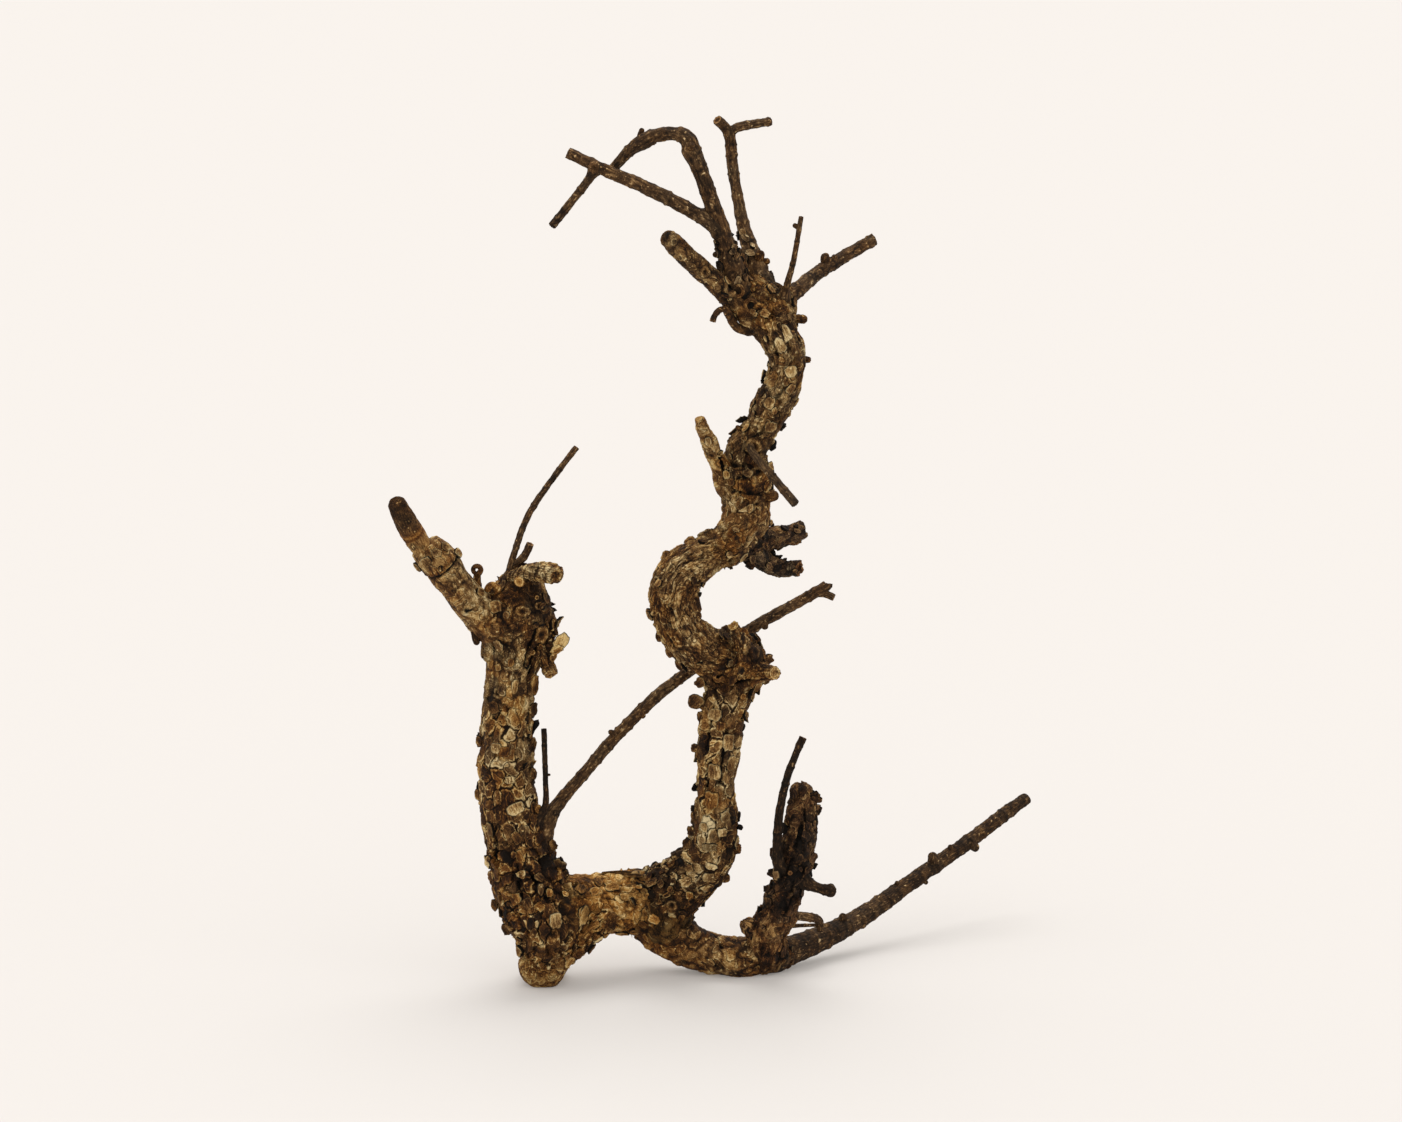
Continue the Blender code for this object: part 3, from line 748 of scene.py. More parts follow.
def rind(skin, seed, tone=0.36, warm=0.35, knobbly=0.16, rings=7.0, flecks=0.5):
    """Thin bark of a twig: fine wrinkles, rings where leaves grew, and pale flecks."""
    rng = np.random.default_rng(seed)
    facing = skin.normals()
    thick = skin.radius[:, None] / 2.0
    bent = rough(skin.places, 3.5, seed, 3)
    count = max(4, round(2 * math.pi * skin.thickness / 0.9))
    lines = np.sin(skin.turn[None, :] * count + 5 * ripple(skin.places, 6.0, seed + 5))
    height = knobbly * np.minimum(thick, 1.6) * bent + WRINKLE * lines
    ring_tone = np.zeros(skin.x.shape)
    wavy = skin.x - 0.5 * ripple(skin.places, 2.5, seed + 9)
    place, before = rng.uniform(0.5, 1.5) * rings, 0.0
    while place < skin.length:
        away = (wavy - place) / 0.55
        ring = np.exp(-away ** 2)
        height = height + ring * rng.uniform(0.1, 0.34) * np.minimum(thick, 1.2)
        shade = rng.uniform(-0.07, 0.07)
        ring_tone += ring * rng.uniform(-0.2, 0.16) + (shade - before) * smooth(away + 0.5)
        before = shade
        place += rng.uniform(0.5, 1.6) * rings
    skin.push(height, facing)
    girth = skin.radius[:, None] * 1.2
    stretched = np.stack((skin.x * 0.55, np.cos(skin.turn)[None] * girth,
                          np.sin(skin.turn)[None] * girth), axis=-1)
    spots = smooth((ripple(stretched, 0.8, seed + 15) - 0.4) / 0.16)
    # Painted light and shade: the knobs and the crests of the wrinkles are lightened, and the hollows
    # darkened.
    skin.paint["tone"] = tone + 0.08 * bent + 0.06 * lines + ring_tone + flecks * 0.5 * spots
    skin.paint["warm"] = warm + 0.25 * rough(skin.places, 9.0, seed + 25, 2)
    skin.paint["crack"] += 0.12 * smooth((-0.25 - bent) / 0.4)
    skin.paint["layer"] = 0.5 + 0.35 * rough(skin.places, 5.0, seed + 35, 2)
    skin.paint["flow"] = 0.35 + 0 * skin.x


def end_grain(skin, rim=0.75, heart=0.35, warm=0.8):
    """Paints the cut end of a stub: a pale rim, rings, and a darker heart."""
    rows = skin.along > skin.length
    share = (skin.radius / skin.radius[~rows][-1])[:, None]
    rings = 0.12 * np.sin(share * 16)
    face = heart + (rim - heart) * smooth((share - 0.35) / 0.5) + rings
    here = np.where(rows, smooth((0.97 - share[:, 0]) / 0.12), 0)[:, None]
    mix_in(skin, here, dict(tone=face, warm=warm, flow=0.0, crack=0.0))


bark_paint = wood_paint(
    "bark", cool="110b05 291c0f 4c3720 725a39 a88d60 d6c194",
    warm="130903 2e190a 563312 7e5325 ad8448 d4b67b", places=(0.0, 0.22, 0.42, 0.6, 0.8, 1.0))

TRUNK_ROUTE = [(-71, -43, 8.5, 7.0), (-70.0, -44, 14, 10.6), (-69.9, -45, 23, 13.3),
               (-73.7, -43, 33, 13.9), (-77.4, -42, 43, 13.8), (-80.2, -42, 54, 12.4),
               (-83.9, -42, 72, 11.2), (-84.7, -40, 95, 10.3), (-82.9, -36, 114, 9.4),
               (-82.0, -34, 127, 10.0), (-80.5, -33, 139, 11.2), (-80, -33, 147, 11.2),
               (-78.5, -34, 154, 8.2)]
TOE_ROUTE = [(-72.8, -43.5, 7.6, 7.4), (-69.2, -43.5, 7.6, 7.4)]
FOOT_ROUTE = [(-71, -41, 6.8, 8.0), (-71, -30, 6.8, 8.4), (-71, -24, 6.8, 5.4)]
WEB_ROUTE = [(-66, -44, 12, 7.0), (-57, -41.5, 18.5, 6.4), (-50, -38, 24, 7.5)]
LUMP_ROUTE = [(-76.5, -34, 145, 8.0), (-73, -33, 139, 7.0), (-71, -33, 130, 4.6)]
DROP_ROUTE = [(-72, -35, 131, 4.0), (-69.5, -37, 125.5, 3.0), (-67.2, -40, 120.5, 2.7)]

trunk, web, lump = Skin(TRUNK_ROUTE), Skin(WEB_ROUTE), Skin(LUMP_ROUTE)
toe, foot, drop = Skin(TOE_ROUTE), Skin(FOOT_ROUTE), Skin(DROP_ROUTE, step=0.4, end="cut")
flare(trunk, [Solid("left_arm"), Solid("cross_limb"), lump])
bark(trunk, 101, plate=[(0, 4.2), (40, 5.0), (60, 6.0), (115, 6.0), (125, 6.0), (150, 4.4)],
     swirl=[(0, 0), (100, 0.0), (112, 0.6), (122, 0.9), (140, 0.7), (150, 0.4)],
     depth=[(0, 0.9), (45, 0.8), (60, 0.5), (150, 0.6)],
     lift=[(0, 0.6), (45, 0.5), (60, 0.28), (150, 0.4)],
     tilt=[(0, 0.26), (45, 0.24), (60, 0.14), (150, 0.2)],
     tone=[(0, 0.46), (15, 0.28), (28, 0.16), (42, 0.19), (55, 0.3), (72, 0.39), (92, 0.43),
           (118, 0.44), (132, 0.35), (155, 0.28)],
     warm=[(0, 0.6), (20, 0.6), (60, 0.5), (90, 0.5), (120, 0.4), (155, 0.5)], fused=0.28)
for where in ((142.1, 12, 2.1), (144.4, 46, 1.6), (132, 53, 2.4), (107, -28, 1.8)):
    scar(trunk, *where)
grooves(trunk, [(118, 30, 134, 38), (112, 44, 128, 52), (124, -38, 137, -30), (24, 28, 40, 16),
                (46, -40, 58, -34), (30, -12, 44, -4)])
daub(trunk, [(94.9, -18, 3.4, dict(tone=0.42, warm=1.15)), (47, -40, 3.5, dict(tone=0.5, warm=1.1)),
             (98, 24, 2.0, dict(tone=0.62, warm=1.0)), (150, 24, 4.0, dict(tone=0.2)),
             (28, 20, 5.0, dict(tone=0.16)), (36, -2, 4.0, dict(tone=0.16))])
flare(toe, [foot], reach=4)
for skin, seed in ((toe, 102), (foot, 106)):
    bark(skin, seed, plate=6.0, depth=0.3, lift=0.05, tilt=0.02, swirl=0.85, tone=0.52, warm=0.95,
         hue=0.1, crack=0.2, lumps=0.7, flow=5.0, drawn=0.9)
    skin.paint["crack"] *= 0.35
bark(web, 107, plate=3.6, depth=0.8, lift=0.6, tilt=0.25, tone=0.34, warm=0.6)
bark(lump, 104, plate=3.6, depth=0.8, lift=0.8, tilt=0.3, tone=0.22, warm=0.35, lumps=1.0)
bark(drop, 108, plate=4.0, depth=0.3, lift=0.15, tilt=0.04, swirl=0.8, tone=0.3, warm=0.35, lumps=0.1,
     warp=0.5, flow=3.0)
end_grain(drop, rim=0.75, heart=0.55, warm=1.0)
piece = Piece(trunk, web, lump, toe, foot, drop)
piece.add_chips(trunk, 103, 90, size=3.6,
                tone=[(0, 0.4), (30, 0.32), (60, 0.42), (120, 0.45), (150, 0.35)],
                where=[(8, 0.4), (16, 1.4), (45, 1.4), (60, 0.6), (110, 0.5), (135, 1.2)])
piece.add_chips(lump, 105, 44, size=3.4, lift=0.9, tone=0.26)
piece.add_chips(web, 109, 20, size=3.2, lift=0.5, tone=0.36, warm=0.6)
piece.set_chips(trunk, [(75.6, 11, 3.0, 4.0, 0, 0.66, 0.3), (64.8, 18, 4.6, 7.0, 12, 0.72, 0.3),
                        (55.3, 24, 6.0, 4.4, -10, 0.4, 0.0), (23.8, 11, 4.0, 3.8, 30, 0.52, 1.1),
                        (27.9, 34, 3.4, 3.0, -25, 0.5, 1.2), (18.9, -14, 6.6, 5.6, 5, 0.56, 0.5),
                        (17.0, 24, 6.0, 5.4, -14, 0.38, 0.2), (40.5, 0, 2.6, 4.0, 10, 0.74, 0.4),
                        (31.0, -22, 4.6, 5.6, 6, 0.36, 0.8), (87.5, -16, 4.6, 5.0, 4, 0.6, 0.2),
                        (87.0, 6, 5.4, 5.6, -12, 0.5, 0.1), (107.3, -16, 2.2, 2.8, 0, 0.76, 0.3),
                        (110.5, 12, 6.6, 2.4, 0, 0.6, 0.35), (47.0, 4, 5.6, 3.2, 4, 0.46, 0.8),
                        (36.5, 26, 4.4, 3.4, 30, 0.3, 0.2)], rise=0.0, slope=0.04, thick=0.4)
piece.set_lips(trunk, [(111.5, 70, 8.0, 4.0, 8, 0.4, 0.42, 0.6),
                       (102.0, 72, 6.0, 3.4, 0, 0.2, 0.26, 0.3),
                       (88.0, 74, 7.0, 3.4, -6, 0.0, 0.3, 0.3), (77.0, 74, 5.0, 3.0, 4, 0.1, 0.26, 0.3),
                       (89.0, -86, 4.6, 3.0, 8, 0.5, 0.32, 0.4),
                       (70.0, -84, 5.0, 2.6, 0, 0.3, 0.4, 0.5),
                       (46.0, 80, 5.0, 3.4, 30, 0.5, 0.34, 0.4),
                       (30.0, -82, 5.0, 3.0, -30, 0.5, 0.3, 0.5),
                       (20.0, -80, 5.0, 3.4, -20, 0.4, 0.34, 0.5),
                       (38.0, 74, 5.0, 3.6, 20, 0.6, 0.26, 0.4),
                       (136.0, -62, 6.4, 4.6, 8, 0.4, 0.5, 0.4),
                       (142.0, -34, 5.0, 5.0, 20, 0.2, 0.52, 0.5)])
TAN_FLAKES = [(((-63.6, -39.3, 133.2), 7.4, 5.4, 35, 0.74, 0.9), (0.2, -1, 0.1)),
              (((-65.2, -39.8, 130.2), 5.6, 3.6, 60, 0.68, 0.9), (0.1, -1, 0)),
              (((-66.6, -40, 127.6), 4.6, 2.6, 20, 0.5, 0.6), (0.2, -1, 0))]
for flake, facing in TAN_FLAKES:
    piece.hang_flakes([flake], facing, square=2.2, thick=0.6)
for skin in (cut_dot(trunk, 153.4, -7, 1.55, reach=1.2, heart=0.6, warm=1.1),
             cut_dot(trunk, 124.6, 52, 1.1), cut_dot(trunk, 61.8, 70, 1.7, reach=1.6, tone=0.7),
             cut_dot(trunk, 148.5, 40, 0.9),
             nub((-70.2, -41, 62.5), (0.6, -1, 0.4), 1.8, 1.9, end="cut", tone=0.6, warm=0.6),
             nub((-96.2, -38, 138.5), (0.15, -0.2, -1), 5.5, 1.7, tip=1.3, tone=0.24, warm=0.3),
             nub((-67.5, -36.5, 131.0), (1, -0.4, 0.25), 3.4, 2.4, tone=0.22),
             nub((-86.0, -38, 151.0), (-0.5, -0.5, 1), 3.0, 2.2, tone=0.4, warm=0.6),
             nub((-78.8, -43.0, 157.2), (0, -1, 0.1), 2.6, 1.8, tip=1.8, end="cut", tone=0.62, warm=0.9),
             bark_curl((-89.0, -41.0, 153.4), 2.0, 1.3, 165, -215, tone=0.52, warm=0.8),
             bark_curl((-74.8, -44.0, 142.8), 1.4, 0.5, 20, 290, tone=0.4, warm=0.3),
             bark_curl((-69.5, -41.5, 146.5), 1.7, 0.6, 100, 240, tone=0.3, warm=0.3, depth=1.0)):
    piece.add_skin(skin)
piece.make("left_trunk", bark_paint)


# THE LEFT ARM
# The arm that grows out of the trunk's knot and leans to the left. Its tip is bare dark wood with
# an orange ring, and olive bark with fine cracks covers the rest like a sleeve with a ragged edge.

CORE_ROUTE = [(-104, -45, 158, 4.2), (-111.4, -50, 166.5, 4.2), (-115.0, -52, 172.3, 4.1),
              (-117.8, -53, 176.8, 4.3), (-120.6, -57, 183.0, 4.1), (-122.8, -59.5, 188.6, 3.5)]
SLEEVE_ROUTE = [(-84, -35, 138.6, 8.4), (-91.4, -36, 141.4, 8.1), (-96.1, -39, 146.5, 7.1),
                (-100.6, -43, 153.1, 6.7), (-105.7, -47, 161.0, 7.0), (-110.4, -50, 168.2, 7.2),
                (-112.8, -51, 171.6, 6.3)]


def swell(skin, bumps):
    """Raises or sinks round spots: distance along, turn in degrees, width and height in mm."""
    facing = skin.normals()
    height = np.zeros(skin.x.shape)
    for along, turn, width, tall in bumps:
        sideways = (skin.turn - math.radians(turn) + math.pi) % (2 * math.pi) - math.pi
        sideways = sideways[None, :] * skin.radius[:, None]
        away = np.hypot(skin.x - along, sideways) / width
        height += tall * np.exp(-away ** 2)
    skin.push(height, facing)


core, arm = Skin(CORE_ROUTE, step=0.4), Skin(SLEEVE_ROUTE, step=0.45, end=0.35)
rind(core, 113, tone=0.46, warm=0.3, knobbly=0.12, rings=40.0, flecks=0.05)
core.paint["flow"] *= 0.3
core.paint["warm"] += 0.9 * np.exp(-((core.x - 26) / 1.6) ** 2)
core.paint["tone"] += 0.2 * np.exp(-((core.x - 26.5) / 0.8) ** 2) - 0.12 * smooth((core.x - 29) / 5)
core.paint["tone"] += 0.16 * smooth((25 - core.x) / 2)
flare(arm, [Solid("left_trunk")])
swell(arm, [(29, 10, 3.2, 0.5), (22, -20, 3.5, 0.4)])
bark(arm, 111, plate=[(0, 6.0), (24, 7.0), (40, 6.0)], depth=0.22, lift=0.1, tilt=0.04,
     swirl=[(0, 0.8), (24, 0.85), (44, 0.85)], tone=[(0, 0.4), (8, 0.42), (17, 0.55), (44, 0.52)],
     spread=0.07, warm=[(0, 0.55), (10, 0.5), (18, 0.2), (36, 0.25), (44, 0.5)], hue=0.12, crack=0.15,
     lumps=0.6, flow=4.4, drawn=0.6)
arm.paint["flow"] *= 0.4
arm.paint["crack"] *= 0.35
dashes = np.random.default_rng(115)
for _ in range(26):
    along, turn = dashes.uniform(16, 37), dashes.uniform(-85, 75)
    across = (along + dashes.uniform(-0.8, 0.8), turn + dashes.uniform(12, 30))
    groove(arm, (along, turn), across, width=0.6, deep=0.2, dark=0.5)
band = np.exp(-((arm.x - 40.5 - 0.8 * np.sin(2 * arm.turn)[None]) / 1.3) ** 2)
arm.push(0.35 * band)
arm.paint["tone"] -= 0.2 * band
arm.paint["warm"] += 0.4 * band
groove(arm, (38.4, -80), (38.8, 80), width=0.6, deep=0.7)
daub(arm, [(19.5, -24, 1.2, dict(tone=0.95, warm=0.1)), (15, 22, 1.4, dict(tone=0.9, warm=0.2)),
           (43, 10, 2.0, dict(tone=0.7, warm=0.4))])
piece = Piece(core, arm, nub((-95.2, -39, 152.5), (0.05, 0, 1), 6.4, 1.7, tip=1.3, tone=0.4),
              bark_curl((-94.8, -42, 161.3), 1.45, 1.1, 300, 330, tone=0.34, warm=0.4))
piece.add_chips(arm, 112, 6, size=2.6, lift=0.1, tone=0.5, warm=0.2)
piece.set_lips(arm, [(46.0, -20, 4.0, 4.6, 20, 0.1, 0.5, 0.2), (46.5, 20, 3.6, 4.0, -10, 0.1, 0.5, 0.2),
                     (40.0, 84, 4.6, 3.0, 10, 0.1, 0.5, 0.2), (44.0, -80, 4.0, 3.0, 0, 0.1, 0.5, 0.2),
                     (45.5, 60, 3.6, 3.6, 30, 0.1, 0.5, 0.2)], face=0.6)
piece.make("left_arm", bark_paint)


# THE BANDED STUB
# The short stub that grows out of the knot and curls to the right. Its pale bark peels in steep
# bands, and its end is brown and round.

BANDED_ROUTE = [(-82, -40, 158.5, 2.0), (-76.7, -43, 160.4, 2.8), (-71.7, -45, 161.3, 3.6),
                (-66.8, -47, 161.0, 4.1), (-64.0, -48, 160.6, 3.3)]
banded = Skin(BANDED_ROUTE, step=0.35, end=0.5)
flare(banded, [Solid("left_trunk")], reach=4)
slant = banded.x + 1.4 * np.sin(banded.turn + 0.5)[None] + 0.5 * rough(banded.places, 5, 5)
bands = slant / 2.5 - np.floor(slant / 2.5)
bark(banded, 121, plate=6.0, depth=0.1, lift=0.0, tilt=0.0, swirl=0.9, tone=0.44, spread=0.06,
     warm=0.35, crack=0.2, lumps=0.15)
banded.paint["crack"] *= 0.3
banded.push(0.4 * bands - 0.2)
# Painted shade and highlight: each band is darkened at the foot of its step and lightened towards its
# raised edge.
banded.paint["crack"] += smooth(1 - bands / 0.2)
banded.paint["tone"] += 0.22 * bands
daub(banded, [(20.5, 0, 2.4, dict(tone=0.34, warm=0.7)), (20.5, 90, 2.4, dict(tone=0.32, warm=0.7))])
piece = Piece(banded)
piece.make("curl_stub", bark_paint)


# THE CROSS LIMB
# The golden limb that has grown together with both stems. Most of its bark is worn off and the
# swirling grain shows, with a lifted ridge of bark along its top and dark rubble at the trunk.

golden_paint = wood_paint(
    "golden_wood",
    cool="150d06 33240f 5a4322 86683a ab8c57 ccb27e",
    warm="180d05 3a210c 694017 94622a b88947 d6b478", streaks=0.6)
CROSS_ROUTE = [(-64, -41, 30.5, 11.0), (-52, -32, 29, 11.3), (-42, -27, 28, 11.9), (-33, -25, 26, 11.6),
               (-26, -25, 21.5, 10.4)]
cross = Skin(CROSS_ROUTE)
flare(cross, [Solid("left_trunk"), Solid("centre_stem"), Solid("low_limb")], reach=6)
swell(cross, [(24, -40, 4.0, 0.8), (34, 10, 4.5, 0.9), (26, 40, 4.0, 0.6), (14, -20, 3.5, -0.6)])
bark(cross, 131, plate=5.6, depth=0.55, lift=0.3,
     swirl=[(0, 0.2), (9, 0.75), (16, 1.0), (32, 1.0), (42, 0.4)],
     tone=[(0, 0.3), (9, 0.42), (16, 0.54), (32, 0.54), (42, 0.34)], spread=0.12,
     warm=[(0, 0.5), (12, 0.85), (32, 0.8), (42, 0.4)], lumps=0.8, flow=5.0, drawn=0.8)
cross.paint["flow"] *= 0.5
grooves(cross, [(12, -28, 26, -18), (16, 24, 30, 40), (26, -60, 38, -40),
                (33, -6, 42, 28)], width=0.5, deep=0.5, dark=0.6)
daub(cross, [(33, 8, 4.0, dict(tone=0.74, warm=0.7)), (24, -30, 2.4, dict(tone=0.72, warm=0.6)),
             (16, -2, 3.0, dict(tone=0.5, warm=1.2)), (40, -20, 5.0, dict(tone=0.22, warm=0.3))])
piece = Piece(cross)
piece.add_chips(cross, 132, 46, size=3.2, tone=[(0, 0.32), (12, 0.5), (32, 0.5), (42, 0.3)], warm=0.6,
                where=[(0, 1.8), (10, 0.15), (30, 0.15), (40, 1.5)])
piece.set_chips(cross, [(1.5, 2, 8.0, 4.4, 82, 0.6, 0.2), (6.4, 6, 3.0, 2.4, 60, 0.7, 1.3),
                        (9.0, -42, 5.0, 3.4, 20, 0.55, 0.6), (18.0, -48, 6.0, 4.0, -6, 0.5, 0.5),
                        (27.0, 58, 5.0, 4.0, 24, 0.55, 0.6), (37.0, 44, 6.5, 3.6, 10, 0.46, 0.5),
                        (3.0, -50, 5.0, 4.4, 40, 0.3, 0.4), (21.0, -22, 4.0, 2.6, -30, 0.7, 0.6)],
                rise=0.2, slope=0.06)
piece.hang_flakes([((-43.5, -30, 40.6), 13.0, 1.6, 87, 0.22, 0.3),
                   ((-36.5, -31, 39.8), 8.0, 1.6, 93, 0.22, 0.3)],
                  facing=(0, -1, 0.4), bend=0.0, thick=0.5, square=4.0)
piece.make("cross_limb", golden_paint)


# THE LOW LIMB AND THE WHIP
# The limb that goes on from the cross limb and lies on the ground, olive brown with curved growth
# lines, and the long thin whip, with the bark of a twig, that it tapers into.

LOW_ROUTE = [(-31, -25, 22.6, 10.4), (-23.2, -25, 16.0, 9.6), (-14.4, -26, 10.4, 8.5),
             (-4, -28, 7.2, 7.9), (7, -29, 6.6, 7.5), (19.5, -24, 6.4, 6.4)]
low = Skin(LOW_ROUTE)
flare(low, [Solid("cross_limb"), Solid("dark_stub")], reach=4)
swell(low, [(22, 20, 4.5, 0.7), (40, -10, 4.0, 0.6), (12, 40, 4.0, 0.8)])
bark(low, 141, plate=8.0, depth=0.38, lift=0.3,
     swirl=[(0, 0.4), (12, 0.7), (24, 0.95), (44, 0.9), (56, 0.6)],
     tone=[(0, 0.38), (14, 0.32), (24, 0.36), (32, 0.44), (44, 0.37), (60, 0.26)],
     warm=[(0, 0.8), (22, 0.55), (32, 0.3), (46, 0.4), (60, 0.6)], lumps=0.7, flow=5.5, drawn=1.0)
low.paint["flow"] *= 0.4
groove(low, (29, -78), (34, -40), width=0.5, deep=0.6, dark=0.8)
piece = Piece(low)
piece.add_chips(low, 142, 26, size=2.6, lift=0.25, tone=0.36)
piece.make("low_limb", bark_paint)

twig_paint = wood_paint(
    "twig_bark",
    cool="100c07 221910 413323 6a583f a08c68 cdba94",
    warm="120b05 29190c 4d3218 77542e a98455 d0b382",
    fine=0.6, streaks=0.4, bump=0.18, worn_and_lit_rims=0.2, cloudy=0.35)


def bud(skin, along, turn, reach, radius, **looks):
    """A bud or stub on the side of a branch."""
    place, out, _, _ = skin.spot(along, turn)
    return nub(place, out, reach, radius, **looks)


WHIP_ROUTE = [(15, -26, 6.4, 6.0), (21, -23, 6.8, 5.7), (35, -10, 8.2, 4.9), (53, 7, 12.9, 3.9),
              (73, 25, 21.8, 3.2), (98, 46, 33.7, 2.9), (114, 58, 42.6, 2.75), (123, 65, 47.1, 2.4)]
whip = Skin(WHIP_ROUTE, end="cut")
flare(whip, [Solid("low_limb"), Solid("dark_stub")], reach=4)
rind(whip, 151, tone=0.29, warm=0.35, rings=5.5)
end_grain(whip)
WHIP_BUDS = [(94.0, -66, 0.9, 2.5), (114.5, 54, 0.7, 2.2), (40, -66, 0.7, 1.8), (73, -70, 0.5, 1.1),
             (104, -60, 0.4, 1.2), (86, 60, 0.3, 1.1)]
piece = Piece(whip, *[bud(whip, *place, tone=0.3, warm=0.3) for place in WHIP_BUDS])
piece.make("whip", twig_paint)


# THE CENTRE STEM
# The middle stem, which rises from the cross limb. Pale square plates of bark cover it, and its
# top is a big knot with two cut pegs and curled lips of bark.

STEM_ROUTE = [(-26.0, -26, 27, 8.2), (-15.8, -30.5, 36.6, 9.6), (-8.6, -34, 47, 10.4),
              (-5.4, -38, 60, 9.0), (-4.8, -40, 76, 7.5), (-3.7, -40, 90, 8.2), (-2.1, -39, 104, 8.7),
              (0.0, -37, 114, 9.4), (2.2, -36, 122, 11.4), (3.0, -36, 128.5, 10.4), (3, -36, 132, 7.6)]
FRONT_PEG = [(5, -42, 131, 3.6), (3.2, -47.5, 137.5, 2.6), (1.6, -50.5, 141.5, 2.1)]
RIGHT_PEG = [(9, -39, 122, 4.6), (14, -44, 122.4, 3.2), (17.4, -48.5, 123, 2.6)]
COLLAR_ROUTE = [(-33, -26, 31.0, 7.8), (-25, -29, 36.8, 7.0), (-17, -33, 43.4, 6.4)]
stem, collar = Skin(STEM_ROUTE, end=0.6), Skin(COLLAR_ROUTE)
flare(stem, [Solid("cross_limb"), Solid("s_limb")], reach=5)
swell(stem, [(9, 60, 4.0, 1.0), (104, -62, 4.0, 1.0), (112, 20, 4.0, 1.2), (104, 50, 3.0, 0.8)])
bark(stem, 161, plate=[(0, 4.5), (18, 4.2), (30, 5.6), (50, 7.0), (80, 7.0), (95, 5.0), (120, 4.0)],
     depth=[(0, 0.7), (25, 0.45), (90, 0.45), (100, 0.8)],
     lift=[(0, 0.5), (30, 0.2), (90, 0.25), (100, 0.6)],
     tone=[(0, 0.22), (12, 0.3), (22, 0.44), (45, 0.5), (60, 0.46), (85, 0.47), (96, 0.4), (120, 0.36)],
     tilt=[(0, 0.2), (20, 0.1), (90, 0.1), (100, 0.22)],
     warm=[(0, 0.45), (30, 0.25), (60, 0.35), (100, 0.35)],
     swirl=[(0, 0), (94, 0), (104, 0.5), (125, 0.5)], fused=0.3)
for where in ((107.2, -21, 2.0), (7.7, 7, 1.8), (113, 40, 1.6)):
    scar(stem, *where)
grooves(stem, [(108, -10, 122, -16), (98, -40, 110, -46), (100, 0, 104, 40), (74, -40, 90, -34),
               (62, 8, 82, 14), (60, -30, 70, -24)], width=0.8, deep=1.5)
daub(stem, [(24, -12, 3.0, dict(tone=0.7, warm=0.05)), (34, 10, 3.4, dict(tone=0.68, warm=0.1)),
            (13, 48, 6.0, dict(tone=0.2, warm=0.5)), (23, 66, 5.0, dict(tone=0.2, warm=0.4)),
            (56.3, -11, 4.0, dict(tone=0.4, warm=0.8)), (112, 30, 3.0, dict(tone=0.12)),
            (98, -20, 3.0, dict(tone=0.16, warm=0.6))])
flare(collar, [stem, Solid("cross_limb")], reach=4)
bark(collar, 162, plate=3.8, depth=0.8, lift=0.7, tilt=0.25, tone=0.22, warm=0.25, lumps=0.9)
front_peg, right_peg = Skin(FRONT_PEG, step=0.35, end="cut"), Skin(RIGHT_PEG, step=0.35, end="cut")
piece = Piece(stem, collar)
for number, peg in enumerate((front_peg, right_peg)):
    flare(peg, [stem], reach=3)
    bark(peg, 163 + number, plate=3.4, depth=0.25, lift=0.1, tilt=0.04, swirl=0.8, tone=0.36, warm=0.5,
         crack=0.3, lumps=0.15, warp=0.5, flow=2.2)
    end_grain(peg, rim=0.86, heart=0.6, warm=1.2 if number == 0 else 0.4)
    piece.add_skin(peg)
piece.add_chips(stem, 165, 70, size=3.4, tone=[(0, 0.3), (25, 0.5), (90, 0.45), (105, 0.32)],
                where=[(0, 1.5), (25, 0.5), (90, 0.6), (100, 2)])
piece.add_chips(collar, 166, 34, size=3.4, lift=0.6, tone=0.25)
piece.set_chips(stem, [(15.8, -42, 5.6, 4.2, 10, 0.7, 0.2), (16.7, 12, 3.6, 3.0, 40, 0.55, 1.2),
                       (45.5, -30, 3.8, 3.4, 4, 0.72, 0.2), (44.6, 19, 3.8, 3.8, 6, 0.76, 0.15),
                       (32, 9, 3.0, 5.0, -8, 0.82, 0.1), (39, -8, 3.4, 6.0, 6, 0.66, 0.2),
                       (78.4, 21, 7.0, 4.4, 0, 0.56, 0.25), (66.7, -9, 6.6, 5.4, -3, 0.54, 0.3),
                       (86.9, -23, 5.0, 6.0, 0, 0.6, 0.3), (56.3, -12, 7.5, 5.6, 0, 0.46, 0.8),
                       (50, 26, 5.0, 4.0, 20, 0.58, 0.2), (26, -30, 4.0, 3.4, -30, 0.5, 0.2),
                       (70, 38, 6.0, 4.0, 0, 0.48, 0.3), (27, 14, 4.6, 5.0, 30, 0.6, 0.15),
                       (20, -16, 5.0, 4.4, -20, 0.56, 0.2)], rise=0.15, slope=0.04, thick=0.4)
piece.hang_flakes([((-12.4, -41, 110.6), 6.6, 6.2, 38, 0.3, 0.3),
                   ((-9.6, -41, 109.0), 3.4, 4.0, 70, 0.22, 0.3),
                   ((-10.2, -41, 104.6), 4.8, 3.4, 0, 0.3, 0.3),
                   ((-12.6, -41, 92.4), 3.4, 3.6, 10, 0.34, 0.3),
                   ((-10.6, -42, 90.4), 4.0, 3.4, 30, 0.26, 0.3),
                   ((-10.6, -42, 118.0), 4.6, 4.2, 50, 0.34, 0.5)],
                  facing=(-0.3, -1, 0), square=2.6, thick=0.6)
